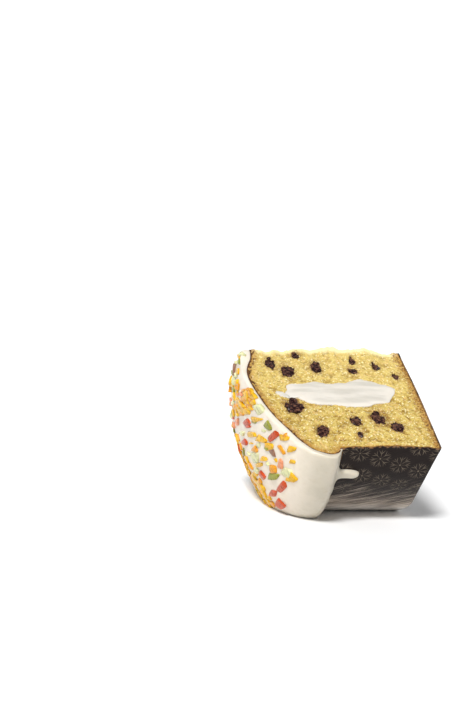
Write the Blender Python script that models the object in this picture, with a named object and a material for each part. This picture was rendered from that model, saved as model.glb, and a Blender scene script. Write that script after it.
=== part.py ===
"""A wedge cut from a round glazed loaf, lying on the wall of its dark paper case.

The cake is modelled upright, with its axis on Z and its base at height 0. The shown cut is at angle 0 and
the wedge runs from there towards negative angles. lay_down then turns every mesh onto its side, with the
base at +X, the dome at -X, the shown cut towards -Y, and the underside pressed flat on the floor.
"""

import math
import random

import bmesh
import bpy
from mathutils import Matrix, Vector, noise

MM = 0.001

# The wedge: its steps of angle, counted from the shown cut, over the flat it rests on, to the far cut
STEP = math.radians(5.4)
FRONT_STEPS = 9
REST_STEPS = 5
BACK_STEPS = 4
STEPS = FRONT_STEPS + REST_STEPS + BACK_STEPS
WEDGE = STEPS * STEP
SHOWN_ANGLE = (FRONT_STEPS + REST_STEPS / 2) * STEP

# The case, and the gaps that keep neighbours apart
RADIUS = 95 * MM
CASE_HEIGHT = 53.5 * MM
PAPER = 0.8 * MM
BASE_CELLS = 6
GAP = 0.35 * MM
GLAZE_GAP = 0.75 * MM
POCKET_GAP = 0.5 * MM

# The flat on the floor: how far the axis lies above it, and the radius inside which nothing is pressed
AXIS_HEIGHT = RADIUS * math.cos(REST_STEPS * STEP / 2)
SOFT_RADIUS = 58 * MM

# The loaf: its dome from the axis to the shoulder, then the bulge down to the wall inside the case
LOAF_RADIUS = RADIUS - PAPER - GAP
LOAF_BASE = PAPER + GAP
DOME_MM = ((0, 93), (9, 95.9), (19.5, 97.3), (32, 96.6), (44, 94.3), (56, 91.2), (66, 87.7), (77, 82.6), (88, 76.8))
BULGE_MM = ((88, 76.8), (94.2, 71.4), (97.3, 66.5), (98.8, 62), (98.4, 58.6), (96.7, 56.6), (LOAF_RADIUS / MM, 54.9))
DOME_CELLS = 18
BULGE_CELLS = 6
WALL_CELLS = 10
CRUMB_RELIEF = 1.3 * MM
CRUMB_LUMPS = 7 * MM
TIP_RELIEF = 1.6 * MM
TIP_LUMPS = 5 * MM
RIM_SHARE = 0.125

# The cream, a soft band with this outline in the shown cut
CREAM_MM = (
    (35.6, 76.9), (33.3, 66.7), (31.6, 49.1), (29.4, 36), (29, 26), (34, 13), (40, 11.2), (46.5, 17.5),
    (51.5, 29), (53.2, 42), (51.7, 59.2), (47.8, 71.5), (44.6, 80.5), (40, 80.2),
)
CREAM_CELLS = 6
CREAM_WANDER = 1.6 * MM

# The glaze: its thickness, its lip on the paper, its waves and its drips
GLAZE = 2.8 * MM
GLAZE_EDGE = 52.8 * MM
GLAZE_LIP_MM = ((95.9, 55.1), (95.7, 53.9), (95.5, GLAZE_EDGE / MM))
LIP_CELLS = 2
LIP_AT_REST = 0.12
LIP_DROP = 0.2 * MM
TAPER_FROM = 0.86
THINNEST = 0.3
GLAZE_RELIEF = 0.45 * MM
GLAZE_LUMPS = 14 * MM
EDGE_WAVE = 1 * MM
DRIPS = (
    {"angle": -12.3, "tip": 41.8 * MM, "width": 6.4 * MM},
    {"angle": -89, "tip": 45 * MM, "width": 5.6 * MM},
)
DRIP_ROOT = 56.2 * MM
DRIP_HEIGHT = 2.1 * MM

# The chopped fruit on the glaze
FRUIT_SPACING = 7.4 * MM
FRUIT_REACH = 88 * MM
FRUIT_SEED = 6
FRUIT_SIZES = (3.4 * MM, 7.6 * MM)
FRUIT_HEIGHTS = (2 * MM, 3.6 * MM)
FRUIT_TILT = 0.3
FRUIT_LIFT = 0.3
FRUIT_COVER = 0.92
FRUIT_THINS_FROM = 55 * MM
FRUIT_THINS_OVER = 40 * MM
CUT_INSET = 0.15 * MM
FLOOR_CLEARANCE = 0.4 * MM

# Dark chips in the shown cut: distance from the axis, height, half width outwards, half width upwards, in mm
SHOWN_CHIPS_MM = (
    (4.6, 64.8, 3.2, 2.5), (14.6, 82.4, 4.6, 3), (6, 84, 1.6, 1.3), (20.8, 72.6, 5.7, 4), (16, 54, 6, 3.3),
    (7.2, 29.9, 3.3, 2.3), (17.6, 32.3, 3.7, 3.2), (13.3, 16.5, 3.7, 2.5), (22.4, 6.8, 4.1, 2.4),
    (56.9, 74.6, 7, 5.2), (78.5, 63.2, 4.6, 3.8), (69.6, 42, 4.3, 3.3), (65.4, 27.5, 6.2, 4.4),
    (82.6, 42.1, 2.8, 1.9), (74.2, 17.7, 4.2, 3.9),
)
FAR_CHIPS = 12
CHIP_SEED = 11
FAR_CHIP_SIZES = (2.4 * MM, 5.6 * MM)
CHIP_DEPTH = 4.2 * MM
CHIP_CLEARANCE = 3 * MM
CHIP_LUMPS = 0.24
LARGE_CHIP = 4.5 * MM

COLOURS = {
    "crumb": (0.78, 0.53, 0.16, 1),
    "cream": (0.80, 0.76, 0.66, 1),
    "icing": (0.85, 0.80, 0.70, 1),
    "case": (0.032, 0.020, 0.016, 1),
    "chip": (0.035, 0.015, 0.009, 1),
}
ROUGHNESS = {"crumb": 0.9, "cream": 0.5, "icing": 0.35, "case": 0.4, "chip": 0.35}
TINY = 1e-6


def clear_scene():
    for obj in list(bpy.data.objects):
        bpy.data.objects.remove(obj, do_unlink=True)


def new_collection(name, hidden=False):
    collection = bpy.data.collections.new(name)
    collection.hide_render = hidden
    bpy.context.scene.collection.children.link(collection)
    return collection


def material(kind):
    found = bpy.data.materials.get(kind) or bpy.data.materials.new(kind)
    found.use_nodes = True
    shader = found.node_tree.nodes["Principled BSDF"]
    shader.inputs["Base Color"].default_value = COLOURS[kind]
    shader.inputs["Roughness"].default_value = ROUGHNESS[kind]
    return found


def curve_point(a, b, c, d, t):
    """The Catmull-Rom curve from b to c."""
    return 0.5 * (2 * b + (c - a) * t + (2 * a - 5 * b + 4 * c - d) * t**2 + (3 * b - a - 3 * c + d) * t**3)


def smooth_line(points_mm, closed=False, steps=20, samples=160):
    """A curve through points in millimetres, as evenly spaced samples in metres from its start to its end."""
    points = [Vector(point) * MM for point in points_mm]
    spans = len(points) if closed else len(points) - 1

    def corner(i):
        return points[i % len(points)] if closed else points[min(max(i, 0), spans)]

    dense = [
        curve_point(corner(i - 1), corner(i), corner(i + 1), corner(i + 2), k / steps)
        for i in range(spans)
        for k in range(steps)
    ]
    dense.append(corner(spans))
    lengths = [0]
    for before, after in zip(dense, dense[1:]):
        lengths.append(lengths[-1] + (after - before).length)
    line, k = [], 0
    for i in range(samples + 1):
        wanted = lengths[-1] * i / samples
        while k < len(dense) - 2 and lengths[k + 1] < wanted:
            k += 1
        share = (wanted - lengths[k]) / (lengths[k + 1] - lengths[k])
        line.append(dense[k].lerp(dense[k + 1], min(share, 1)))
    return line


def along(line, t):
    """The point of a sampled line at the share t of its length."""
    at = min(max(t, 0), 1) * (len(line) - 1)
    i = min(int(at), len(line) - 2)
    return line[i].lerp(line[i + 1], at - i)


def outward(line, t, reach=0.004):
    """The line's normal: up on the dome, and away from the axis at the side."""
    direction = along(line, t + reach) - along(line, t - reach)
    return Vector((-direction.y, direction.x)).normalized()


DOME = smooth_line(DOME_MM)
BULGE = smooth_line(BULGE_MM)
LIP = smooth_line(GLAZE_LIP_MM)
CREAM = smooth_line(CREAM_MM, closed=True)
CREAM_MIDDLE = sum(CREAM[:-1], Vector((0, 0))) / (len(CREAM) - 1)
WALL_SHARE = WALL_CELLS / (WALL_CELLS + BULGE_CELLS)
GLAZE_CELLS = DOME_CELLS + BULGE_CELLS + LIP_CELLS


def loaf_side(v):
    """Up the wall inside the case to its top, then out and up the bulge to the shoulder."""
    if v <= WALL_SHARE:
        return Vector((LOAF_RADIUS, LOAF_BASE + v / WALL_SHARE * (BULGE[-1].y - LOAF_BASE)))
    return along(BULGE, 1 - (v - WALL_SHARE) / (1 - WALL_SHARE))


def crumb_section(u, v):
    """A Coons patch over the section: axis, base, side and dome are its four edges."""
    axis = Vector((0, LOAF_BASE + v * (DOME[0].y - LOAF_BASE)))
    base = Vector((u * LOAF_RADIUS, LOAF_BASE))
    corners = (
        (1 - u) * (1 - v) * Vector((0, LOAF_BASE))
        + u * (1 - v) * loaf_side(0)
        + (1 - u) * v * DOME[0]
        + u * v * DOME[-1]
    )
    return (1 - v) * base + v * along(DOME, u) + (1 - u) * axis + u * loaf_side(v) - corners


def cream_section(u, v, grown=0):
    """A square drawn out to the cream's outline: each square ring becomes a smaller copy of it."""
    x, y = 2 * u - 1, 2 * v - 1
    size = max(abs(x), abs(y))
    if size == 0:
        return CREAM_MIDDLE.copy()
    if abs(y) > abs(x):
        turn = (0.25 if y > 0 else 0.75) - x / y / 8
    else:
        turn = (0 if x > 0 else 0.5) + y / x / 8
    away = along(CREAM, turn % 1) - CREAM_MIDDLE
    return CREAM_MIDDLE + size * (away + away.normalized() * grown)


def tunnel_section(u, v):
    """The cream's section grown by the gap, for the tunnel that it fills."""
    return cream_section(u, v, POCKET_GAP)


def glaze_line(u):
    """The glaze's underside and its normal: a gap over the dome and the bulge, then the lip on the paper."""
    cell = u * GLAZE_CELLS
    if cell <= DOME_CELLS:
        line, t, gap = DOME, cell / DOME_CELLS, GLAZE_GAP
    elif cell < DOME_CELLS + BULGE_CELLS:
        line, t, gap = BULGE, (cell - DOME_CELLS) / BULGE_CELLS, GLAZE_GAP
    else:
        line, t, gap = LIP, (cell - DOME_CELLS - BULGE_CELLS) / LIP_CELLS, 0
    normal = outward(line, t)
    return along(line, t) + normal * gap, normal


def glaze_section(u, v):
    """Full thickness over the dome, rounded off over the last cells at the lower edge."""
    inner, normal = glaze_line(u)
    taper = max(0, (u - TAPER_FROM) / (1 - TAPER_FROM))
    outer = inner + normal * GLAZE * max(THINNEST, math.sqrt(1 - taper**2))
    if u == 0:
        inner.x = outer.x = 0
    return inner.lerp(outer, v)


GLAZE_SKIN = [glaze_section(i / 120, 1) for i in range(121)]
GLAZE_LENGTH = sum((after - before).length for before, after in zip(GLAZE_SKIN, GLAZE_SKIN[1:]))


def case_section(u, v):
    """An L: the base out from the axis, then the wall up beside the loaf's cells, v through the paper."""
    inset = v * PAPER
    cell = u * (BASE_CELLS + WALL_CELLS)
    if cell <= BASE_CELLS:
        return Vector((cell / BASE_CELLS * (RADIUS - inset), inset))
    beside = loaf_side((cell - BASE_CELLS) / (WALL_CELLS + BULGE_CELLS))
    return Vector((RADIUS - inset, min(beside.y, CASE_HEIGHT)))


def uneven(point, size, seed):
    """Smooth noise from -1 to 1 with lumps of about this size."""
    return noise.noise(point / size + Vector((7.1, 3.7, 5.3)) * seed)


def polar(point):
    return math.hypot(point.x, point.y), math.atan2(point.y, point.x), point.z


def cartesian(rho, angle, height):
    return Vector((rho * math.cos(angle), rho * math.sin(angle), height))


def crumb_relief(point, u, v):
    """The knife leaves pits in both cuts and a ragged edge where they meet."""
    rho, angle, _ = polar(point)
    if rho < TINY:
        worn = TIP_RELIEF * (0.55 + 0.45 * uneven(point, TIP_LUMPS, 1)) if 0 < v < 1 else 0
        return point + cartesian(worn, -WEDGE / 2, 0)
    inside = min(1, (1 - u) / RIM_SHARE) * min(1, v / RIM_SHARE) * min(1, (1 - v) / RIM_SHARE)
    pit = CRUMB_RELIEF * inside * (0.45 + 0.55 * uneven(point, CRUMB_LUMPS, 2))
    if abs(angle) < STEP / 2:
        return point - Vector((0, pit, 0))
    if abs(angle + WEDGE) < STEP / 2:
        return point + cartesian(pit, math.pi / 2 - WEDGE, 0)
    return point


def cream_relief(point, _u, _v):
    """Behind the shown cut the band wanders a little in and out, up and down."""
    rho, angle, height = polar(point)
    wander = CREAM_WANDER * min(1, -angle / (3 * STEP))
    swing = Vector((10 * angle, 0, 0))
    rho += wander * noise.noise(swing)
    height += wander * noise.noise(swing + Vector((0, 9, 0)))
    return cartesian(rho, angle, height)


def glaze_relief(point, u, v):
    """The outer skin swells and sinks a little, and the lip runs in waves, lifted where the slice rests."""
    rho, angle, height = polar(point)
    if height < LIP[0].y:
        past_rest = abs(angle + SHOWN_ANGLE) - (REST_STEPS / 2 + 1) * STEP
        free = min(max(past_rest / (2 * STEP), LIP_AT_REST), 1)
        wave = EDGE_WAVE * (0.35 + noise.noise(Vector((7 * angle, 0, 4))))
        height = LIP[0].y - LIP_DROP - (LIP[0].y - height + wave) * free
    if v == 1 and 0 < u < TAPER_FROM:
        swell = GLAZE_RELIEF * uneven(point, GLAZE_LUMPS, 3)
        normal = glaze_line(u)[1]
        rho += swell * normal.x
        height += swell * normal.y
    return cartesian(rho, angle, height)


def unchanged(point, _u, _v):
    return point


def skin_radius(height):
    """How far out the skin stands at this height: the paper, then the glaze over it."""
    if height < CASE_HEIGHT + GAP:
        return RADIUS
    for upper, lower in zip(GLAZE_SKIN, GLAZE_SKIN[1:]):
        if upper.x > SOFT_RADIUS and lower.y <= height <= upper.y:
            share = (height - lower.y) / (upper.y - lower.y + TINY)
            return lower.x + share * (upper.x - lower.x) + GLAZE_RELIEF
    return SOFT_RADIUS


def pressed(rho, angle, height):
    """Squeezes what lies outside the soft radius, so that the outermost skin ends on the floor."""
    down = math.cos(angle + SHOWN_ANGLE)
    skin = skin_radius(height)
    if rho <= SOFT_RADIUS or skin * down <= AXIS_HEIGHT:
        return rho
    share = min(1, (rho - SOFT_RADIUS) / (skin - SOFT_RADIUS))
    return SOFT_RADIUS + share * (AXIS_HEIGHT / down - SOFT_RADIUS)


def lay_down(obj):
    """Presses the underside flat and turns the mesh onto its side: the base to +X, the shown cut to -Y."""
    for vert in obj.data.vertices:
        rho, angle, height = polar(vert.co)
        rho = pressed(rho, angle, height)
        z = AXIS_HEIGHT - rho * math.cos(SHOWN_ANGLE + angle)
        vert.co = (-height, -rho * math.sin(SHOWN_ANGLE + angle), 0 if abs(z) < TINY else z)
    return obj


def add_object(name, bm, kind, collection):
    bm.normal_update()
    bmesh.ops.recalc_face_normals(bm, faces=bm.faces)
    mesh = bpy.data.meshes.new(name)
    bm.to_mesh(mesh)
    bm.free()
    mesh.materials.append(material(kind))
    obj = bpy.data.objects.new(name, mesh)
    collection.objects.link(obj)
    return obj


def turned_wedge(name, kind, cells, section, relief, collection, extra_steps=0):
    """A grid laid out on the section, turned through the wedge, welded on the axis and given its relief."""
    bm = bmesh.new()
    bmesh.ops.create_grid(bm, x_segments=cells[0], y_segments=cells[1], size=1)
    across = bm.verts.layers.float.new("across")
    through = bm.verts.layers.float.new("through")
    start = extra_steps * STEP
    for vert in bm.verts:
        u, v = round((vert.co.x + 1) / 2, 6), round((vert.co.y + 1) / 2, 6)
        vert[across], vert[through] = u, v
        place = section(u, v)
        vert.co = cartesian(place.x, start, place.y)
    bmesh.ops.spin(
        bm,
        geom=bm.verts[:] + bm.edges[:] + bm.faces[:],
        axis=(0, 0, 1),
        cent=(0, 0, 0),
        angle=-(WEDGE + 2 * start),
        steps=STEPS + 2 * extra_steps,
        use_duplicate=False,
    )
    bmesh.ops.remove_doubles(bm, verts=bm.verts, dist=TINY)
    for vert in bm.verts:
        vert.co = relief(vert.co, round(vert[across], 5), round(vert[through], 5))
    return lay_down(add_object(name, bm, kind, collection))


def slice_flush(bm, place, normal):
    """Takes off what lies beyond a plane and closes the cut."""
    everything = bm.verts[:] + bm.edges[:] + bm.faces[:]
    cut = bmesh.ops.bisect_plane(bm, geom=everything, plane_co=place, plane_no=normal, clear_outer=True)
    rim = [edge for edge in cut["geom_cut"] if isinstance(edge, bmesh.types.BMEdge)]
    bmesh.ops.edgenet_fill(bm, edges=rim)


def add_chunk(name, place, half, seed, collection, far, grown=0):
    """An angular lump set in a cut at place, with half widths outwards, upwards and into the crumb.

    Ungrown it is a chip, cut flush; grown it is the cutter for the chip's pocket."""
    bm = bmesh.new()
    bmesh.ops.create_icosphere(bm, subdivisions=2 if max(half) > LARGE_CHIP else 1, radius=1)
    for vert in bm.verts:
        lump = 1 + CHIP_LUMPS * uneven(vert.co, 0.9, seed)
        squared = vert.co * lump / max(abs(c) for c in vert.co) ** 0.35
        out, up, deep = (squared[i] * (half[i] + grown) for i in range(3))
        vert.co = (place[0] + out, deep, place[1] + up)
    if not grown:
        slice_flush(bm, (0, 0, 0), (0, 1, 0))
    if far:
        bm.transform(Matrix.Rotation(-WEDGE, 4, "Z") @ Matrix.Diagonal((1, -1, 1, 1)))
    return lay_down(add_object(name, bm, "chip", collection))


def section_holds(rho, height, half):
    """Whether a chip of this half width lies in the loaf's section and clear of the cream."""
    if height - half < LOAF_BASE + CHIP_CLEARANCE or rho < half + MM or rho + half > LOAF_RADIUS - CHIP_CLEARANCE:
        return False
    roof = min((abs(point.x - rho), point.y) for point in DOME)[1]
    if height + half > roof - CHIP_CLEARANCE:
        return False
    to_cream = min((point - Vector((rho, height))).length for point in CREAM)
    heights = [point.y for point in CREAM if abs(point.x - rho) < CHIP_CLEARANCE]
    in_cream = bool(heights) and min(heights) < height < max(heights)
    return to_cream > half + CHIP_CLEARANCE and not in_cream


def far_chips():
    """Places for the chips in the far cut: drawn at random, then kept where they fit."""
    draw = random.Random(CHIP_SEED)
    chosen = []
    while len(chosen) < FAR_CHIPS:
        rho, height = draw.uniform(0, LOAF_RADIUS), draw.uniform(0, DOME[0].y)
        half = draw.uniform(*FAR_CHIP_SIZES)
        apart = all(math.hypot(rho - c[0], height - c[1]) > half + c[2] + CHIP_CLEARANCE for c in chosen)
        if apart and section_holds(rho, height, half * (1 + CHIP_LUMPS)):
            chosen.append((rho, height, half, half * draw.uniform(0.65, 1)))
    return chosen


def add_chips(parts, cutters):
    shown = [tuple(size * MM for size in row) for row in SHOWN_CHIPS_MM]
    for side, rows, far in (("shown", shown, False), ("far", far_chips(), True)):
        for number, (rho, height, half_out, half_up) in enumerate(rows, 1):
            place, half, seed = (rho, height), (half_out, half_up, CHIP_DEPTH), number + 40 * far
            add_chunk(f"chip_{side}_{number:02d}", place, half, seed, parts, far)
            as_cutter(add_chunk(f"pocket_{side}_{number:02d}", place, half, seed, cutters, far, POCKET_GAP))


def as_cutter(obj):
    obj.hide_render = True
    obj.display_type = "WIRE"


def cut_away(obj, cutters):
    """Takes a collection of closed cutters out of the object."""
    cut = obj.modifiers.new("pockets", "BOOLEAN")
    cut.operation = "DIFFERENCE"
    cut.operand_type = "COLLECTION"
    cut.collection = cutters
    cut.solver = "EXACT"


def add_drip(drip, collection):
    """A half drop of glaze on the outside of the paper, wider towards its tip."""
    bm = bmesh.new()
    bmesh.ops.create_uvsphere(bm, u_segments=10, v_segments=8, radius=1)
    for vert in bm.verts:
        run, over, out = vert.co.x, vert.co.y, max(vert.co.z, 0)
        height = (DRIP_ROOT + drip["tip"]) / 2 - run * (DRIP_ROOT - drip["tip"]) / 2
        half = drip["width"] / 2 * (0.95 + 0.2 * run)
        angle = math.radians(drip["angle"]) + over * half / RADIUS
        vert.co = cartesian(RADIUS + GAP + out * DRIP_HEIGHT, angle, height)
    lay_down(add_object("drip", bm, "icing", collection))


def fruit_cover(rho):
    """Thick over the middle of the dome and thinning out towards its shoulder."""
    return FRUIT_COVER - max(0, (rho - FRUIT_THINS_FROM) / FRUIT_THINS_OVER)


def add_fruit(collection):
    """Chopped pieces of fruit in uneven rings round the axis."""
    draw = random.Random(FRUIT_SEED)
    for ring in range(1, int(FRUIT_REACH / FRUIT_SPACING) + 1):
        t = ring * FRUIT_SPACING / GLAZE_LENGTH
        rho = along(GLAZE_SKIN, t).x
        count = max(1, round(rho * WEDGE / FRUIT_SPACING))
        for i in range(count):
            angle = -WEDGE * (i + draw.uniform(0.1, 0.9)) / count
            at = t + draw.uniform(-0.35, 0.35) * FRUIT_SPACING / GLAZE_LENGTH
            half = [draw.uniform(*sizes) / 2 for sizes in (FRUIT_SIZES, FRUIT_SIZES, FRUIT_HEIGHTS)]
            turn = [draw.uniform(-most, most) for most in (math.pi, FRUIT_TILT, FRUIT_TILT)]
            if draw.random() < fruit_cover(rho):
                add_bit(collection, at, angle, half, turn, 9 * draw.random())


def add_bit(collection, at, angle, half, turn, seed):
    """One chopped piece, an uneven box sunk a little into the glaze, flush where the knife went through it."""
    base = along(GLAZE_SKIN, at)
    normal = outward(GLAZE_SKIN, at)
    up = cartesian(normal.x, angle, normal.y)
    side = cartesian(1, angle + math.pi / 2, 0)
    frame = Matrix((side.cross(up), side, up)).transposed()
    place = cartesian(base.x, angle, base.y) + up * half[2] * FRUIT_LIFT
    spin, roll, pitch = (Matrix.Rotation(amount, 3, axis) for amount, axis in zip(turn, "ZXY"))
    bm = bmesh.new()
    bmesh.ops.create_cube(bm, size=2)
    for vert in bm.verts:
        corner = Vector((vert.co[i] * half[i] for i in range(3)))
        corner *= 1 + 0.22 * uneven(vert.co, 0.8, seed)
        vert.co = place + frame @ roll @ pitch @ spin @ corner
    for plane in (Vector((0, 1, 0)), cartesian(1, -WEDGE - math.pi / 2, 0)):
        slice_flush(bm, plane * -CUT_INSET, plane)
    if not bm.faces:
        bm.free()
        return
    bit = lay_down(add_object("bit", bm, "icing", collection))
    if min(vert.co.z for vert in bit.data.vertices) < FLOOR_CLEARANCE:
        bpy.data.objects.remove(bit, do_unlink=True)


def connected(bm):
    """The sets of vertices that edges join."""
    unseen = set(bm.verts)
    pieces = []
    while unseen:
        waiting = [unseen.pop()]
        piece = set(waiting)
        while waiting:
            vert = waiting.pop()
            near = {edge.other_vert(vert) for edge in vert.link_edges} & unseen
            unseen -= near
            piece |= near
            waiting.extend(near)
        pieces.append(piece)
    return pieces


def drop_scraps(mesh):
    """Keeps the largest connected piece, and none of the fruit that the glaze doesn't hold."""
    bm = bmesh.new()
    bm.from_mesh(mesh)
    scraps = sorted(connected(bm), key=len)[:-1]
    bmesh.ops.delete(bm, geom=[vert for piece in scraps for vert in piece], context="VERTS")
    bm.to_mesh(mesh)
    bm.free()


def fuse(obj, extras):
    """Joins every object of a collection to this one, then removes them."""
    join = obj.modifiers.new("toppings", "BOOLEAN")
    join.operation = "UNION"
    join.operand_type = "COLLECTION"
    join.collection = extras
    join.solver = "MANIFOLD"
    graph = bpy.context.evaluated_depsgraph_get()
    joined = bpy.data.meshes.new_from_object(obj.evaluated_get(graph))
    drop_scraps(joined)
    obj.modifiers.clear()
    obj.data = joined
    for extra in list(extras.objects):
        bpy.data.objects.remove(extra, do_unlink=True)
    bpy.data.collections.remove(extras)


def centre_footprint(parts, cutters):
    """Moves every mesh so that the origin is on the floor under the middle of the whole."""
    corners = [vert.co for obj in parts.objects for vert in obj.data.vertices]
    middle = [(min(co[i] for co in corners) + max(co[i] for co in corners)) / 2 for i in range(2)]
    shift = Matrix.Translation((-middle[0], -middle[1], 0))
    for obj in list(parts.objects) + list(cutters.objects):
        obj.data.transform(shift)
        obj.data.shade_smooth()
        obj.data.set_sharp_from_angle(angle=math.radians(35))


def main():
    clear_scene()
    parts = new_collection("cake_slice")
    cutters = new_collection("cutters", hidden=True)
    toppings = new_collection("toppings")
    crumb_cells = (DOME_CELLS, WALL_CELLS + BULGE_CELLS)
    cream_cells = (CREAM_CELLS, CREAM_CELLS)
    crumb = turned_wedge("crumb", "crumb", crumb_cells, crumb_section, crumb_relief, parts)
    turned_wedge("cream", "cream", cream_cells, cream_section, cream_relief, parts)
    as_cutter(turned_wedge("tunnel", "cream", cream_cells, tunnel_section, cream_relief, cutters, 1))
    turned_wedge("case", "case", (BASE_CELLS + WALL_CELLS, 1), case_section, unchanged, parts)
    icing = turned_wedge("icing", "icing", (GLAZE_CELLS, 1), glaze_section, glaze_relief, parts)
    for drip in DRIPS:
        add_drip(drip, toppings)
    add_fruit(toppings)
    fuse(icing, toppings)
    add_chips(parts, cutters)
    cut_away(crumb, cutters)
    centre_footprint(parts, cutters)


main()
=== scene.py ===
"""The looks of a slice of glazed panettone that lies on the wall of its dark paper case.

Every surface is first worked out in the cake's own frame, upright with its axis on Z and its base at height
0: a distance from the axis, an angle from the shown cut and a height. lay_down then turns it onto its side,
and presses it flat where the slice rests on the floor.
"""

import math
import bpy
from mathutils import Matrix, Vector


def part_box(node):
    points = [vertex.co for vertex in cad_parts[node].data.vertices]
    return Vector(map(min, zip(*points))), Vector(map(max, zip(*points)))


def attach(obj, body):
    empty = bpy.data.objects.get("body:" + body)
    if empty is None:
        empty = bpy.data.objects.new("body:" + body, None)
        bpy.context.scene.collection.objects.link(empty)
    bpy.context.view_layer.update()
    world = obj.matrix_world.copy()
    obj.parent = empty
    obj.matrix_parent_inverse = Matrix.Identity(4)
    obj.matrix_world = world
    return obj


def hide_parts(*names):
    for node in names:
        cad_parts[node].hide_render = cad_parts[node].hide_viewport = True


bl_info = {
    "name": "Glazed panettone slice",
    "version": (1, 0, 0),
    "blender": (4, 5, 0),
    "location": "3D View > Sidebar > Panettone",
    "description": "Builds a slice of panettone with its crumb, cream, chips, icing, fruit and paper case",
    "category": "Add Mesh",
}

import bmesh
import bpy
import numpy as np
from bpy.props import FloatProperty, FloatVectorProperty, IntProperty, PointerProperty
from mathutils import Matrix, Vector

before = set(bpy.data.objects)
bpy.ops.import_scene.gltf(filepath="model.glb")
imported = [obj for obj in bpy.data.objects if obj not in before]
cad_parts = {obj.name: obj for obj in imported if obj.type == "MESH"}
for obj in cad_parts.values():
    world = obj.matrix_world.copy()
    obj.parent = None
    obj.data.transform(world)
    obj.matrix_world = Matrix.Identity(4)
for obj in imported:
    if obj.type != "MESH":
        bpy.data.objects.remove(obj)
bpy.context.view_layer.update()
CASE_LOW, CASE_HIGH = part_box("case")

MM = 0.001

# Points that are closer together than this are one
WELD = 0.002 * MM

# The wedge's angle, how far the shown cut stands from straight down as the slice lies, and half the angle of
# the strip of its wall that is pressed flat. The squeeze reaches from there in to the soft radius
WEDGE = math.radians(97.2)
SHOWN_ANGLE = math.radians(62.1)
REST_HALF = math.radians(13.5)
RADIUS = 95 * MM
SOFT_RADIUS = 58 * MM
AXIS_HEIGHT = RADIUS * math.cos(REST_HALF)
BASE_X = CASE_HIGH.x
AXIS_Y = CASE_LOW.y + RADIUS * math.sin(SHOWN_ANGLE)

# The loaf: its crown runs from the axis over the dome, out round the bulge and in to the wall
CROWN_MM = (
    (0, 92), (5, 92.2), (9.5, 93.1), (14.5, 95), (20.5, 96.7), (27, 97.1), (34, 96.4), (44, 94.3),
    (56, 91.2), (66, 87.7), (77, 82.6), (88, 76.8), (94.2, 71.4), (97.3, 66.5), (98.8, 62), (98.4, 58.6),
    (96.7, 56.6), (93.85, 54.9),
)
SHOULDER = 88 * MM
WALL_RADIUS = 94.3 * MM
LOAF_BASE = 0.7 * MM
CRUMB_FILL = 0.45 * MM

# The cream's outline inside the loaf, as distances from the axis and heights, and where it opens out into
# the outline of the shown cut
CREAM_MM = (
    (35.6, 76.9), (33.3, 66.7), (31.6, 49.1), (29.4, 36), (29, 26), (34, 13), (40, 11.2), (46.5, 17.5),
    (51.5, 29), (53.2, 42), (51.7, 59.2), (47.8, 71.5), (44.6, 80.5), (40, 80.2),
)
CREAM_SHOWN_MM = (
    (35.4, 75.8), (33.9, 72.3), (33.9, 67.1), (32.2, 61.3), (31.4, 57.9), (33.4, 51.9), (33.4, 47.6),
    (32.2, 43.6), (32.4, 40.1), (29.9, 35.4), (27.7, 30.2), (28.9, 27.9), (30.7, 22.4), (32.9, 19),
    (33.2, 16.5), (35.4, 13.7), (37.7, 12.5), (40.1, 13), (42.9, 14.2), (46.6, 16.5), (50.4, 18.5),
    (51.4, 21.7), (52.1, 25.9), (54.4, 30.4), (55.6, 36.4), (55.6, 42.4), (55.1, 47.1), (53.9, 52.6),
    (53.9, 56.1), (53.4, 60.3), (52.4, 64.3), (50.1, 68.1), (47.6, 70.3), (47.9, 74.1), (46.9, 77.3),
    (43.6, 78), (40.1, 76.3),
)
CREAM_BLEND = math.radians(16)

# Between the cuts the band wanders, and next to a cut its outline is ragged. Its rim and the crumb's bed
# for it lie this deep behind the cut
CREAM_WANDER = 1.6 * MM
CREAM_NEAR_CUT = math.radians(16.2)
CREAM_RAGGED = 0.45 * MM
CREAM_RIM = 0.6 * MM
CREAM_BED = 1.5 * MM

# How many cells the cream has across a cut, and how many steps the loaf takes from cut to cut
CREAM_CELLS = 92
WEDGE_STEPS = 18

# A smear of cream that the knife left in the shown cut: its middle, half its length and width, and its turn
SMEAR = {
    "out": 45 * MM, "up": 79.6 * MM, "half_long": 5.2 * MM, "half_wide": 2.3 * MM, "tilt": math.radians(-50),
}

# The chips: how deep they reach behind a cut, how deep their rims and their beds lie there, and those that
# have sunk deeper, into holes
CHIP_DEPTH = 4.2 * MM
CHIP_RIM, CHIP_BED = 0.95 * MM, 1.3 * MM
HOLLOW_RIM, HOLLOW_BED = 1.9 * MM, 2.4 * MM
HOLLOW_CHIPS = ("chip_shown_09", "chip_shown_13", "chip_far_04", "chip_far_09")

# How far chips have slid out and up in the cut, and the corners that stick out of them: the way and the
# share
CHIP_SLIDES_MM = {
    "chip_shown_02": (-2, -0.5), "chip_shown_03": (0.3, -2.5), "chip_shown_06": (2, 0.6),
    "chip_shown_07": (1.6, 0), "chip_shown_08": (0, 1), "chip_shown_09": (1, 1.5),
    "chip_shown_10": (-1.6, 0.2), "chip_shown_15": (0.9, 1.8),
}
CHIP_CORNERS = {
    "chip_shown_01": (-60, 0.4), "chip_shown_06": (170, 0.3), "chip_shown_08": (150, 0.2),
    "chip_shown_10": (176, 0.45), "chip_shown_13": (178, 0.7), "chip_shown_15": (160, 0.35),
    "chip_shown_05": (-140, 0.3), "chip_far_03": (20, 0.4), "chip_far_08": (-100, 0.4),
}

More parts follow.
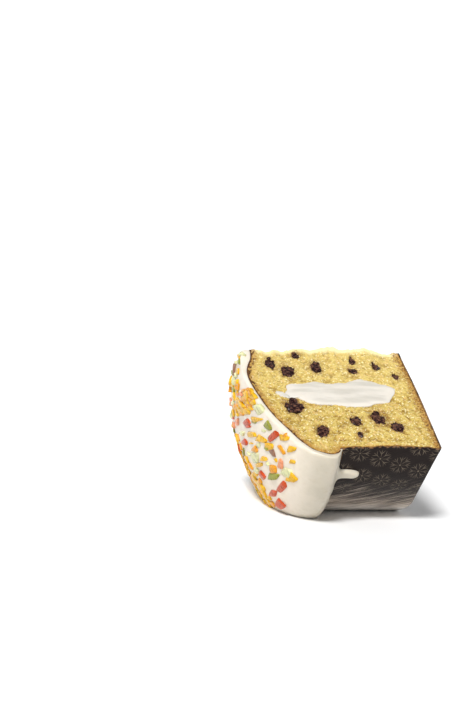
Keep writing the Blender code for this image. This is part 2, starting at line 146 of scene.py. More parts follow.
# The icing: its two sides stand this far off the crown. The outer one stands further near the axis and less
# over the dome, by these amounts at these distances from the axis
GLAZE_INNER = 0.35 * MM
GLAZE_OUTER = 3.55 * MM
GLAZE_CAP_MM = (
    (0, 1.8), (5, 2.4), (9.5, 2.5), (14.5, 1.2), (20.5, -0.2), (27, -0.9), (34, -1), (44, -0.8), (56, -0.4),
    (68, 0), (90, 0),
)

# The icing's film on the paper: the distances of its two sides from the axis, the heights of its lower edge
# at these angles, and how much further up the film begins. The bulge's foot comes in to it on this line, as
# distances above the film's top and out from it
PAPER_FACE = 95.2 * MM
FILM_INNER = 94.8 * MM
EDGE_DEG_MM = (
    (0, 55.4), (-4, 55.2), (-7.7, 54.8), (-17.4, 53.6), (-23.3, 53.4), (-35.3, 51.8), (-46, 52.6),
    (-58, 53), (-70, 52.2), (-80, 53.2), (-90, 53), (-97.2, 54),
)
BULGE_FOOT_MM = ((8.5, 7.15), (6.2, 7.05), (4.2, 6.35), (2.6, 5), (1.4, 3.3), (0.6, 1.5), (0, 0))
LIP = 1 * MM

# The drips on the paper, then how many rows of points the icing has on its crown, foot and film, how many
# layers in its thickness, and how many samples of its lower edge the film is measured from
DRIPS = (
    {"angle": -11.2, "tip": 42 * MM, "half": 3.2 * MM},
    {"angle": -89, "tip": 45 * MM, "half": 3.2 * MM},
)
CROWN_ROWS, FOOT_ROWS, FILM_ROWS, ICING_LAYERS = 120, 15, 20, 8
EDGE_SAMPLES = 4000

# The tip of the wedge, which the knife tore: how far it stands out at each height, and how far in that
# reaches
TIP_RISE_MM = (
    (0, 1.3), (4, 0.4), (8, 0), (14, 0.9), (20.6, 3), (27, 2.8), (32, 1.9), (35.5, 1.5), (39, 2.9),
    (42.4, 3.5), (49, 2.7), (52.4, 1.9), (58.3, 1.3), (62, 2.1), (65.6, 1.7), (72, 0), (77, 0.9),
    (82.4, -0.3), (88, 0.6), (93, 0),
)
TEAR_REACH = 12 * MM

# The shown cut isn't quite flat: it swells in its middle, and more towards the wall. Of each swell: how far
# it stands out, the height of its middle and half its own height. Both fade out this deep behind the cut
CUT_SWELL, CUT_MIDDLE, CUT_HALF = 0.9 * MM, 46 * MM, 52 * MM
WALL_SWELL, WALL_MIDDLE, WALL_HALF = 1.9 * MM, 25 * MM, 31 * MM
SWELL_DEPTH = 26 * MM

# The base swells too, by these amounts at these distances from the axis, and less the deeper below the cut
BASE_SWELL_MM = ((0, 1.5), (25, 2.6), (48, 3), (72, 2.8), (95, 2.3))
BASE_FADE_MM = (
    (0, 0.91), (5, 0.42), (10, 0.03), (15, -0.28), (20, -0.51), (25, -0.67), (30, -0.75), (34, -0.75),
    (39, -0.68), (43, -0.53), (47.5, -0.3), (52, 0), (58, 0.15), (70, 0),
)
BASE_SWELL_HEIGHT = 35 * MM

# Where the slice rests on the floor, the paper and the fruit, the icing's inner side and the crumb stand at
# least this far above the icing's flat, so that no two faces lie in one plane
FLAT_LIFT = 0.06 * MM
INNER_LIFT = 0.15 * MM
CRUMB_LIFT = 0.3 * MM

# There the paper's rim is this much lower, so that it ends inside the film of icing, and the pressed skin
# passes from the paper to the icing's bulge over this height
RIM_DROP = 1 * MM
SKIN_RISE = 2.6 * MM

# The camera, with its place from the slice's own corner, and the picture that it takes
CAMERA_PLACE = np.array((BASE_X - 0.24605, AXIS_Y - 0.7616, 0.1685))
CAMERA_RIGHT = np.array((0.98193, -0.18414, 0.04353))
CAMERA_DOWN = np.array((0.02373, -0.10837, -0.99383))
CAMERA_FORWARD = np.array((0.18773, 0.97691, -0.10204))
FOCAL_PIXELS = 1300
MIDDLE_X, MIDDLE_Y = 237, 356

# The paper case: the radius of the bend between its base and its wall, and how many rows of points each has
CASE_BEND = 1.6 * MM
CASE_BASE_ROWS, CASE_BEND_ROWS, CASE_WALL_ROWS = 29, 9, 50

# The rosettes on the paper: two steps of their lattice and one middle, along the rim and up the wall
LATTICE_MM = ((4.2, -12.4), (12.6, 7.6))
ROSETTE_MM = (4, 44.1)

# The strokes of a rosette's eight arms: their turn at the rosette's rim in eighths of a circle, where they
# start and end as shares of its radius, and half their width. They fan out from a fork in the arm
ROSETTE_STROKES = ((0, 0.14, 1.02, 0.02), (0.42, 0.5, 0.98, 0.022), (-0.42, 0.5, 0.98, 0.022))
ROSETTE_FORK = 0.4

# The paper's creases, and the painted sheen in streaks along them, lean this far from straight up the wall
STREAK_LEAN = math.radians(28)

# The bits of fruit that the camera sees: pixel across and down, length and width in millimetres as they
# look from the camera, the turn of the length from level, clockwise in degrees, and the colour. A slanting
# surface draws them out, but by no more than one over the least slant
FRUIT_SLANT = 0.36
FRUIT_SEEN = (
    (241.8, 353.4, 2.6, 1.8, 0, "pale"), (239.4, 361.8, 3.4, 2.8, 70, "green"),
    (235.4, 369.3, 6.3, 1.4, 90, "brown"), (233.9, 379, 6.5, 2.2, 90, "pale"),
    (238.8, 386.9, 3.8, 2, 90, "orange"), (234.4, 390, 3.4, 2.6, 80, "green"),
    (234.6, 396.3, 4.6, 2.4, 90, "yellow"), (241.2, 393.7, 3, 2, 75, "coral"),
    (238.3, 394.6, 2.4, 2, 0, "coral"), (246.1, 395.3, 5.6, 4.8, 70, "yellow"),
    (243.6, 390.4, 3, 2, -20, "orange"), (252.2, 396.2, 4, 3, 50, "yellow"),
    (253.6, 394.2, 2, 1.6, 40, "green"), (248.5, 400.6, 5.4, 3.2, 25, "orange"),
    (241.2, 404.2, 5, 4.4, 30, "yellow"), (237.8, 400.2, 3.4, 2.6, 60, "yellow"),
    (234.1, 402.6, 3, 2.4, 90, "pale"), (234.9, 407.2, 4, 3, 40, "orange"),
    (248.9, 405.9, 3.8, 2.4, 10, "orange"), (254.3, 403.1, 3, 2.6, 60, "yellow"),
    (233.9, 412.8, 4.4, 2.4, 85, "yellow"), (246.4, 411.2, 6.6, 4.8, 10, "yellow"),
    (242.2, 413.4, 3.6, 2.6, 25, "orange"), (259.5, 409.9, 5.6, 4.2, 75, "pale"),
    (257.4, 419.4, 5.4, 3.4, 0, "yellow"), (254.6, 421.4, 2.6, 2, 20, "green"),
    (233.9, 417.8, 2.8, 2.4, 0, "red"), (237.6, 422.4, 5.2, 4.4, 75, "coral"),
    (247, 423, 4.8, 3.6, -40, "red"), (249.2, 426.4, 2.6, 2, 10, "red"),
    (268.6, 426.7, 5.6, 3.2, 52, "green"), (242.4, 433.2, 3.6, 2.6, 20, "pale"),
    (235, 430.8, 3.2, 1.8, 80, "green"), (252.6, 434.9, 5.4, 3.2, 0, "yellow"),
    (260.8, 439.6, 5.6, 4.8, 30, "yellow"), (268.6, 446.2, 4.6, 3.8, 0, "yellow"),
    (266.2, 448, 2.6, 2, 30, "green"), (273.1, 436.8, 6.6, 3.2, -42, "red"),
    (283, 438.2, 5.2, 4.4, 0, "yellow"), (286, 436.4, 2.4, 2, 50, "orange"),
    (246, 442.9, 4.8, 3.6, 20, "red"), (255.7, 448.9, 4.4, 3.8, 40, "orange"),
    (239.4, 449.4, 5.6, 3.8, 80, "yellow"), (243.5, 450.8, 4.4, 2, -65, "green"),
    (273.1, 453.8, 4.8, 2.6, 65, "brown"), (282.4, 449.8, 5, 2.6, 55, "orange"),
    (292.2, 449.5, 4, 3.8, 0, "yellow"), (255.3, 457.6, 6.4, 5, 80, "pale"),
    (264.5, 458.2, 2.8, 1.8, 10, "yellow"), (292.5, 461.8, 2.8, 1.8, 15, "yellow"),
    (280.2, 465.4, 6, 3.2, -75, "coral"), (247, 459.6, 5, 3.2, 75, "yellow"),
    (251.2, 465.7, 4.8, 3.6, 40, "orange"), (260.2, 465.2, 4.4, 2.6, -20, "yellow"),
    (274.2, 469, 4, 3.2, 80, "orange"), (274.3, 475.9, 5.4, 4.4, 0, "green"),
    (270, 474, 2, 1.6, 0, "green"), (262.9, 475.3, 6, 3.4, 50, "red"), (285.8, 473, 5, 3.6, 25, "pale"),
    (292.6, 478.6, 6, 4.4, 30, "yellow"), (250, 471.8, 4, 3, 60, "yellow"),
    (254.2, 477, 6, 4, 50, "yellow"), (261, 485.6, 6.6, 3.4, 55, "yellow"),
    (257.6, 489.6, 3, 1.8, 50, "green"), (282, 487.6, 5.4, 3.4, -50, "red"),
    (273.2, 492.7, 5.2, 3.4, 25, "red"), (265.2, 495, 6.8, 3.6, 65, "yellow"),
    (280.4, 504, 5.6, 3.6, 45, "red"), (273, 504.8, 4.4, 3.8, 40, "orange"),
    (244.6, 398.8, 3, 2.4, 0, "yellow"), (251.2, 390.9, 2.6, 2.2, 60, "yellow"),
    (239.6, 409.8, 3.2, 2.4, 80, "yellow"), (237.6, 404.6, 3.2, 2.2, 70, "orange"),
    (243.4, 407.6, 3.4, 2.2, 0, "orange"), (238, 414.6, 2.8, 2, 30, "yellow"),
    (248.2, 389.8, 3, 2, 40, "orange"), (236.2, 376, 3.4, 2, 80, "pale"),
    (237.4, 392.2, 2.6, 2, 60, "yellow"), (251.8, 401.6, 2.8, 2, 0, "orange"),
    (237, 456.4, 3.6, 1.8, 75, "orange"), (244, 465.2, 4, 2, 65, "yellow"),
    (247, 470.2, 4, 2.2, 60, "yellow"), (250, 479, 4.2, 2.4, 60, "orange"),
    (254.6, 484.6, 4.4, 2.6, 50, "yellow"), (258.4, 481.8, 3, 2, 40, "yellow"),
    (258, 494, 4.6, 2.4, 55, "yellow"), (262.4, 490.4, 3.4, 2.2, 40, "orange"),
    (263.4, 499.6, 4.6, 2.4, 50, "yellow"), (268.6, 500.6, 4.2, 2.8, 60, "yellow"),
    (269, 506.4, 3.8, 2.2, 40, "orange"), (256.8, 470.6, 3.4, 2.4, 30, "pale"),
    (241, 458, 3.4, 2.2, 70, "yellow"), (236.2, 440.4, 3, 1.6, 80, "pale"),
    (248.6, 452.8, 2.8, 2, 30, "pale"), (264.6, 430.6, 2.4, 1.8, 20, "pale"),
    (258.4, 445, 2.6, 2, 60, "pale"), (267.8, 463.6, 2.6, 2, 40, "pale"),
    (251.4, 443.4, 2.4, 1.6, 0, "yellow"), (277, 460.4, 2.2, 1.6, 60, "yellow"),
    (239.2, 357.4, 3, 2.2, 60, "yellow"), (236.4, 362.6, 3, 2, 70, "pale"),
    (238.4, 371.4, 3.6, 2.4, 80, "yellow"), (234, 373.4, 3, 2, 90, "green"),
    (233.4, 384.6, 4.2, 2.6, 90, "yellow"), (237, 382, 3.2, 2.4, 80, "yellow"),
    (236.6, 387.2, 3, 2.2, 60, "orange"), (249.8, 393.2, 3.6, 3, 20, "orange"),
    (243.8, 399.2, 3.6, 3, 0, "orange"), (247.4, 403.4, 3.4, 2.6, 60, "yellow"),
    (239.2, 401.6, 3.4, 2.6, 30, "yellow"), (251, 408.8, 3.4, 2.6, 20, "yellow"),
    (240.6, 411.8, 3.2, 2.6, 60, "yellow"), (236.8, 409.2, 3.6, 2.4, 70, "yellow"),
    (234.8, 425, 3.6, 2.2, 85, "coral"), (235.6, 435.6, 3.4, 2, 80, "orange"),
    (237.4, 445.6, 4, 2.4, 80, "yellow"), (240.4, 452.8, 3, 2, 60, "orange"),
    (242.6, 461.4, 3.6, 2.2, 70, "yellow"), (245.8, 463, 3, 2.2, 50, "orange"),
    (249.4, 475.2, 4.2, 2.6, 60, "yellow"), (252.8, 481, 4, 2.4, 55, "yellow"),
    (256, 488.2, 4.2, 2.6, 55, "orange"), (260.2, 496, 4.2, 2.6, 50, "yellow"),
    (266.4, 502.6, 4, 2.4, 45, "yellow"), (271.4, 507.6, 3.4, 2.2, 30, "yellow"),
    (256.6, 473.2, 3.2, 2.4, 40, "yellow"), (260.4, 480.4, 3.4, 2.4, 50, "orange"),
    (264.8, 489.6, 3.4, 2.2, 55, "yellow"), (269.8, 497.2, 3, 2, 50, "yellow"),
)

# On the sides that the camera doesn't see, the bits are tried at this many random places, in these shares
# of the colours and between these lengths. They keep above the lowest height, and lie further apart below
# the sparse one. A bit has this many faces along each side
FRUIT_SHARES = {"yellow": 19, "orange": 6, "red": 8, "green": 6, "pale": 5, "coral": 3, "brown": 2}
FRUIT_LENGTHS_MM = (3.4, 6.6)
FRUIT_LOWEST = 58 * MM
FRUIT_SPARSE = 74 * MM
FRUIT_SEED = 6
FRUIT_TRIES = 9000
BIT_CELLS = 4


def curve(points, closed=False, samples=480):
    """A Catmull-Rom curve through the points, resampled evenly along its length."""
    points = np.array(points, float)
    if closed:
        a, b, c, d = (np.roll(points, shift, axis=0)[:, None] for shift in (1, 0, -1, -2))
    else:
        padded = np.concatenate([points[:1], points, points[-1:]])
        a, b, c, d = (padded[i : len(padded) - 3 + i, None] for i in range(4))
    t = np.linspace(0, 1, 24, endpoint=False)[None, :, None]
    dense = 0.5 * (2 * b + (c - a) * t + (2 * a - 5 * b + 4 * c - d) * t**2 + (3 * b - a - 3 * c + d) * t**3)
    dense = np.concatenate([dense.reshape(-1, 2), points[:1] if closed else points[-1:]])
    lengths = np.concatenate([[0], np.cumsum(np.linalg.norm(np.diff(dense, axis=0), axis=1))])
    even = np.linspace(0, lengths[-1], samples + 1)
    return np.stack([np.interp(even, lengths, dense[:, i]) for i in range(2)], axis=1)


def along(line, t):
    """The places of a resampled line at the shares t of its length."""
    at = np.clip(t, 0, 1) * (len(line) - 1)
    return np.stack([np.interp(at, np.arange(len(line)), line[:, i]) for i in range(2)], axis=-1)


def outward(line, t, reach=0.006):
    """The line's normals: its direction at t, turned a quarter to the left."""
    run = along(line, t + reach) - along(line, t - reach)
    normal = np.stack([-run[..., 1], run[..., 0]], axis=-1)
    return normal / np.linalg.norm(normal, axis=-1, keepdims=True)


def smoothstep(low, high, values):
    """0 below low, 1 above high, and an S-shaped rise between."""
    share = np.clip((values - low) / (high - low), 0, 1)
    return share * share * (3 - 2 * share)


def cell_values(cells, seed):
    """A fixed value from 0 to 1 for each cell of three whole numbers, which are stirred together."""
    mixed = (cells @ np.array((73856093, 19349663, 83492791)) + seed * 2654435761) & 0xFFFFFFFF
    mixed = mixed.astype(np.uint64)
    for shift, factor in ((15, 2246822519), (13, 3266489917)):
        mixed = ((mixed ^ (mixed >> np.uint64(shift))) * np.uint64(factor)) & np.uint64(0xFFFFFFFF)
    return (mixed ^ (mixed >> np.uint64(16))).astype(float) / 0xFFFFFFFF


def lumps(places, size, seed):
    """Smooth noise from -1 to 1: a random value at each corner of cubes of this size, blended between
    them."""
    scaled = places / size
    cell = np.floor(scaled).astype(np.int64)
    part = scaled - cell
    part = part * part * (3 - 2 * part)
    total = 0
    for corner in np.ndindex(2, 2, 2):
        weight = np.prod(np.where(corner, part, 1 - part), axis=-1)
        total = total + weight * cell_values(cell + np.array(corner), seed)
    return 2 * total - 1


def on_line(values):
    """Places along one line, for noise that changes with these values alone."""
    return np.stack([values, 0 * values, 0 * values], axis=-1)


def pores(places, size, seed):
    """One round pore to a square of this size: 1 at its middle, falling evenly to 0 at its rim."""
    scaled = places / size
    cell = np.floor(scaled).astype(np.int64)
    deepest = np.zeros(len(places))
    for step in np.ndindex(3, 3):
        square = cell + np.array(step) - 1
        key = np.column_stack([square, np.zeros(len(square), np.int64)])
        middle = square + 0.2 + 0.6 * np.column_stack([cell_values(key, seed), cell_values(key, seed + 1)])
        radius = 0.18 + 0.5 * cell_values(key, seed + 2)
        away = np.linalg.norm(scaled - middle, axis=1)
        deepest = np.maximum(deepest, 1 - away / radius)
    return deepest


def grown_line(line, distance):
    """The line moved outwards by this distance."""
    return line + outward(line, np.linspace(0, 1, len(line))) * distance


CROWN = curve(CROWN_MM) * MM
LOAF_CROWN = grown_line(CROWN, CRUMB_FILL)
LOAF_CROWN[0, 0] = 0
WIDEST = np.argmax(CROWN[:, 0]) / (len(CROWN) - 1)
SHOULDER_SHARE = np.argmax(CROWN[:, 0] > SHOULDER) / (len(CROWN) - 1)
CREAM = curve(CREAM_MM, closed=True) * MM
CREAM_SHOWN = curve(CREAM_SHOWN_MM, closed=True) * MM
CREAM_MIDDLE = CREAM[:-1].mean(axis=0)
EDGE = curve(EDGE_DEG_MM)
BULGE_FOOT = curve(BULGE_FOOT_MM) * MM
SKIN = grown_line(CROWN, GLAZE_OUTER)
SKIN = SKIN[(SKIN[:, 0] > SOFT_RADIUS) & (SKIN[:, 1] > CROWN_MM[-1][1] * MM)]


def skin_radius(height):
    """How far out the skin stands at this height: the paper, then a smooth rise to the icing over it."""
    skin = np.maximum(np.interp(height, SKIN[::-1, 1], SKIN[::-1, 0], right=SOFT_RADIUS), SOFT_RADIUS)
    foot = CROWN_MM[-1][1] * MM
    return RADIUS + smoothstep(foot, foot + SKIN_RISE, height) * (skin - RADIUS)


def through(points, values):
    """Where values lie on the smooth line through the points, in the same millimetres as these."""
    line = curve(points) * MM
    return np.interp(values, line[:, 0], line[:, 1])


def torn_tip(rho, height):
    """How far the tip stands out from the wedge's edge: a measured line with fine tatters, fading
    inwards."""
    line = on_line(height)
    tatters = 0.45 * MM * lumps(line, 1.7 * MM, 1) + 0.2 * MM * lumps(line, 0.7 * MM, 2)
    return (through(TIP_RISE_MM, height) + tatters) * smoothstep(TEAR_REACH, 0, rho)


def cut_swell(rho, height):
    """How far the shown cut stands out: a low cushion over all of it, a second one along the wall, and
    waves there. A cushion is 1 - x * x, at x half widths from its middle."""
    cushion = CUT_SWELL * smoothstep(0, 22 * MM, rho) * smoothstep(RADIUS, 75 * MM, rho)
    cushion = cushion * np.clip(1 - ((height - CUT_MIDDLE) / CUT_HALF) ** 2, 0, 1)
    by_wall = np.clip(1 - ((height - WALL_MIDDLE) / WALL_HALF) ** 2, 0, 1)
    wavy = 0.4 * MM * lumps(on_line(height), 4.2 * MM, 3) * smoothstep(84 * MM, RADIUS, rho)
    return cushion + WALL_SWELL * by_wall * smoothstep(62 * MM, RADIUS, rho) + wavy


def lay_down(rho, angle, height, lowest=0):
    """Shapes the slice and turns it onto its side.

    The tip moves out along the middle of the wedge, and the shown cut and the base swell. What would pass
    below the floor is squeezed in between the soft radius and the floor, in proportion to its distance from
    the axis, and nothing comes below the lowest level."""
    out = torn_tip(rho, height)
    x = rho * np.cos(angle) - out * math.cos(WEDGE / 2)
    y = rho * np.sin(angle) + out * math.sin(WEDGE / 2)
    y = y + cut_swell(rho, height) * smoothstep(SWELL_DEPTH, 0, -y)
    base = through(BASE_SWELL_MM, rho) * through(BASE_FADE_MM, -y) / MM
    base = base * smoothstep(BASE_SWELL_HEIGHT, 0, height)
    rho, angle = np.hypot(x, y), np.arctan2(y, x)
    turned = SHOWN_ANGLE + angle
    down = np.maximum(np.cos(turned), 0.01)
    skin = skin_radius(height)
    share = np.minimum(1, (rho - SOFT_RADIUS) / np.maximum(skin - SOFT_RADIUS, MM))
    squeezed = SOFT_RADIUS + share * (AXIS_HEIGHT / down - SOFT_RADIUS)
    rho = np.where((rho > SOFT_RADIUS) & (skin * down > AXIS_HEIGHT), squeezed, rho)
    x = BASE_X - height + base
    y = AXIS_Y - rho * np.sin(turned)
    z = np.maximum(AXIS_HEIGHT - rho * np.cos(turned), lowest)
    return np.stack(np.broadcast_arrays(x, y, z), axis=-1)


def in_cut(rho, height, depth, far):
    """Places at this depth behind the shown or the far cut, laid down. A depth below 0 stands proud."""
    turn = -WEDGE if far else 0
    inwards = turn + math.pi / 2 if far else -math.pi / 2
    x = rho * math.cos(turn) + depth * math.cos(inwards)
    y = rho * math.sin(turn) + depth * math.sin(inwards)
    return lay_down(np.hypot(x, y), np.arctan2(y, x), height)


def upright(section, angle):
    """Places in the cake's own frame: distances from the axis and heights, carried round to these angles."""
    rho, height = section[..., 0], section[..., 1]
    return np.stack(np.broadcast_arrays(rho * np.cos(angle), rho * np.sin(angle), height), axis=-1)


def grid_faces(rows, columns, first=0):
    """The quads between neighbours in a grid of rows by columns of points, numbered from first."""
    index = first + np.arange(rows * columns).reshape(rows, columns)
    corners = (index[:-1, :-1], index[:-1, 1:], index[1:, 1:], index[1:, :-1])
    return np.stack(corners, axis=-1).reshape(-1, 4)


class Sheets:
    """Gathers grids of points into one mesh of closed shells, each grid with its values for the
    material."""

    def __init__(self):
        self.points, self.faces, self.values, self.count = [], [], {}, 0

    def add(self, grid, **values):
        """Adds a grid, rows by columns of points, with its values."""
        rows, columns = grid.shape[:2]
        self.points.append(grid.reshape(-1, 3))
        self.faces.append(grid_faces(rows, columns, self.count))
        self.count += rows * columns
        for name, value in values.items():
            self.values.setdefault(name, []).append(np.broadcast_to(value, (rows, columns)).ravel())

    def add_sides(self, grids, edges):
        """Adds the sides of a bit of fruit, with how near to its edges each point lies."""
        for grid, edge in zip(grids, edges):
            self.add(grid, edge=edge)

    def piece(self, name, material, slot, *nodes):
        """Makes the mesh: welds the seams, turns every face outwards, and sets the piece in the frame."""
        mesh = bpy.data.meshes.new(name)
        mesh.from_pydata(np.concatenate(self.points), [], np.concatenate(self.faces).tolist())
        for key, parts in self.values.items():
            layer = mesh.attributes.new(key, "FLOAT", "POINT")
            layer.data.foreach_set("value", np.concatenate(parts).astype(np.float32))
        bm = bmesh.new()
        bm.from_mesh(mesh)
        bmesh.ops.remove_doubles(bm, verts=bm.verts, dist=WELD)
        bmesh.ops.recalc_face_normals(bm, faces=bm.faces)
        bm.to_mesh(mesh)
        bm.free()
        mesh.materials.append(material)
        mesh.shade_smooth()
        obj = bpy.data.objects.new(name, mesh)
        bpy.context.scene.collection.objects.link(obj)
        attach(obj, "root")
        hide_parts(*nodes)
        return obj


class Finish:
    """A material built node by node: each method adds a node and returns the socket that it gives."""

    def __init__(self, name, **fixed):
        self.material = bpy.data.materials.new(name)
        self.material.use_nodes = True
        self.nodes = self.material.node_tree.nodes
        self.links = self.material.node_tree.links
        self.shader = self.nodes["Principled BSDF"]
        for socket, value in fixed.items():
            self.shader.inputs[socket.replace("_", " ")].default_value = value
        self.place = self.nodes.new("ShaderNodeTexCoord").outputs["Object"]

    def give(self, socket, value):
        """Links a socket, or sets its value."""
        if isinstance(value, bpy.types.NodeSocket):
            self.links.new(value, socket)
        else:
            socket.default_value = value

    def set(self, **sockets):
        """Gives values to the shader's own sockets."""
        for name, value in sockets.items():
            self.give(self.shader.inputs[name.replace("_", " ")], value)

    def value(self, name):
        """A value that the mesh carries at each point."""
        node = self.nodes.new("ShaderNodeAttribute")
        node.attribute_name = name
        return node.outputs["Fac"]

    def math(self, operation, *values):
        node = self.nodes.new("ShaderNodeMath")
        node.operation = operation
        for socket, value in zip(node.inputs, values):
            self.give(socket, value)
        return node.outputs[0]

    def times(self, *values):
        return self.math("MULTIPLY", *values)

    def plus(self, *values):
        return self.math("ADD", *values)

    def less(self, *values):
        return self.math("SUBTRACT", *values)

    def most(self, *values):
        return self.math("MAXIMUM", *values)

    def spread(self, value, low, high, start=0, end=1):
        """Maps low to high smoothly onto start to end."""
        node = self.nodes.new("ShaderNodeMapRange")
        node.interpolation_type = "SMOOTHSTEP"
        for socket, number in zip(node.inputs, (value, low, high, start, end)):
            self.give(socket, number)
        return node.outputs[0]

    def mix(self, share, first, second, blend="MIX"):
        node = self.nodes.new("ShaderNodeMix")
        node.data_type = "RGBA"
        node.blend_type = blend
        colours = [c for c in node.inputs if c.type == "RGBA"]
        for socket, value in zip((node.inputs[0], *colours), (share, first, second)):
            self.give(socket, value)
        return node.outputs[2]

    def noise(self, size, detail=2, stretch=(1, 1, 1), place=None, roughness=0.5):
        """Cloudy noise from 0 to 1 whose lumps have about this size."""
        mapping = self.nodes.new("ShaderNodeMapping")
        mapping.inputs["Scale"].default_value = [1 / (size * s) for s in stretch]
        self.give(mapping.inputs["Vector"], place or self.place)
        node = self.nodes.new("ShaderNodeTexNoise")
        node.inputs["Scale"].default_value = 1
        node.inputs["Detail"].default_value = detail
        node.inputs["Roughness"].default_value = roughness
        self.give(node.inputs["Vector"], mapping.outputs[0])
        return node.outputs["Fac"]

    def bump(self, height, distance, strength):
        """Raises the surface's shading by this distance where the height is 1."""
        node = self.nodes.new("ShaderNodeBump")
        node.inputs["Distance"].default_value = distance
        node.inputs["Strength"].default_value = strength
        self.give(node.inputs["Height"], height)
        self.links.new(node.outputs[0], self.shader.inputs["Normal"])


def colour(text, default, description):
    return FloatVectorProperty(
        name=text, description=description, default=default, size=3, min=0, max=1, subtype="COLOR"
    )


def length(text, millimetres, description):
    return FloatProperty(
        name=text, description=description, default=millimetres * MM, min=0, unit="LENGTH", precision=5
    )


def rgba(value):
    return (*value, 1)


class CrumbSettings(bpy.types.PropertyGroup):
    cells: IntProperty(name="Cells", description="Cells across each cut", default=198, min=20)
    grain: length("Grain depth", 0.62, "How deep the small pores of the crumb are")
    grain_size: length("Grain size", 1.45, "How far apart the small pores are")
    hole: length("Hole depth", 0.55, "How deep the few large holes are")
    hole_size: length("Hole spacing", 7, "How far apart the large holes are")
    crust: length("Crust", 0.5, "Thickness of the dark crust under the icing")
    # Steps of painted shade: lit crumb on the walls between the pores, shaded in the pores, darker in the
    # deepest
    light: colour("Lit crumb", (0.62, 0.475, 0.145), "The walls between the pores")
    shade: colour("Shaded crumb", (0.415, 0.28, 0.058), "The insides of the pores")
    deep: colour("Deepest shaded crumb", (0.21, 0.115, 0.026), "The deepest pores")
    tan: colour("Tan crumb", (0.62, 0.4, 0.15), "Tan patches between the pores")
    # Painted light: a warm brightening of the crumb towards the tip
    painted_tip_light: colour("Painted tip light", (0.85, 0.67, 0.25), "A warm tint that grows towards the tip")
    stain: colour("Stain", (0.2, 0.085, 0.03), "Smears of chocolate round the chips")
    # Painted highlights on the torn tip and on single grains
    pale: colour("Pale crumb", (0.86, 0.79, 0.49), "The torn tip and single pale grains")
    baked: colour("Baked crumb", (0.37, 0.175, 0.034), "The crumb just inside the crust")
    dark: colour("Crust", (0.085, 0.032, 0.012), "The crust")


class CreamSettings(bpy.types.PropertyGroup):
    white: colour("White", (0.645, 0.605, 0.54), "The cream")
    shade: colour("Shade", (0.53, 0.5, 0.44), "The bands that the knife left")


class ChipSettings(bpy.types.PropertyGroup):
    depth: length("Depth", CHIP_DEPTH / MM, "How deep a chip reaches into the crumb")
    dark: colour("Chocolate", (0.014, 0.0035, 0.004), "The chips")
    # Partly the paler chocolate of the cut faces, partly painted highlights
    bloom_and_painted_glints: colour("Bloom and painted glints", (0.17, 0.075, 0.045), "The paler chocolate of their cut faces")


class IcingSettings(bpy.types.PropertyGroup):
    film: length("Film", 1.6, "Thickness of the icing on the paper")
    wave: length("Waves", 0.3, "How much the surface swells and sinks")
    white: colour("White", (0.76, 0.685, 0.575), "The icing")
    # Painted shade: the darker colour the icing takes towards the bulge, which faces away from the light
    cream: colour("Cream", (0.475, 0.43, 0.34), "The thicker icing on the bulge")


class FruitSettings(bpy.types.PropertyGroup):
    height: length("Height", 2.3, "Thickness of a chopped piece")
    spacing: length("Spacing", 5.4, "Least distance between the pieces on the unseen sides")
    yellow: colour("Yellow", (0.66, 0.37, 0.004), "Candied lemon")
    orange: colour("Orange", (0.64, 0.27, 0.006), "Candied orange")
    red: colour("Red", (0.44, 0.05, 0.005), "Candied cherry")
    green: colour("Green", (0.24, 0.25, 0.02), "Candied citron")
    pale: colour("Pale green", (0.58, 0.58, 0.32), "Candied melon")
    coral: colour("Coral", (0.66, 0.26, 0.13), "Pale red cherry")
    brown: colour("Brown", (0.22, 0.11, 0.065), "Dark peel")


class CaseSettings(bpy.types.PropertyGroup):
    paper: length("Paper", 0.55, "Thickness of the paper")
    height: length("Height", 55.1, "Height of the case's wall")
    brown: colour("Brown", (0.009, 0.0045, 0.0035), "The paper")
    edge: colour("Edge", (0.26, 0.14, 0.06), "The cut edges of the paper")
    # Painted sheen: the floor's reflection in the satin paper, in streaks towards the floor
    painted_sheen: colour("Painted sheen", (0.56, 0.47, 0.385), "The rubbed streaks of the paper towards the floor")
    # Painted reflection of the floor on the paper's lowest millimetres
    painted_floor_reflection: colour("Painted floor reflection", (0.85, 0.8, 0.74), "The pale underside that the floor lights")
    print: colour("Print", (0.17, 0.135, 0.095), "The printed rosettes")
    rosette: length("Rosette", 6.1, "Radius of a printed rosette")


class StageSettings(bpy.types.PropertyGroup):
    focal: FloatProperty(name="Focal length", description="Camera lens in millimetres", default=65.73, min=1)
    floor: colour("Floor", (0.95, 0.95, 0.95), "The floor")
    sky: FloatProperty(name="Sky", description="Strength of the even white light", default=0.28, min=0)
    key: FloatProperty(name="Key", description="Strength of the main light", default=3.8, min=0)
    fill: FloatProperty(name="Fill", description="Strength of the low front light", default=0.2, min=0)


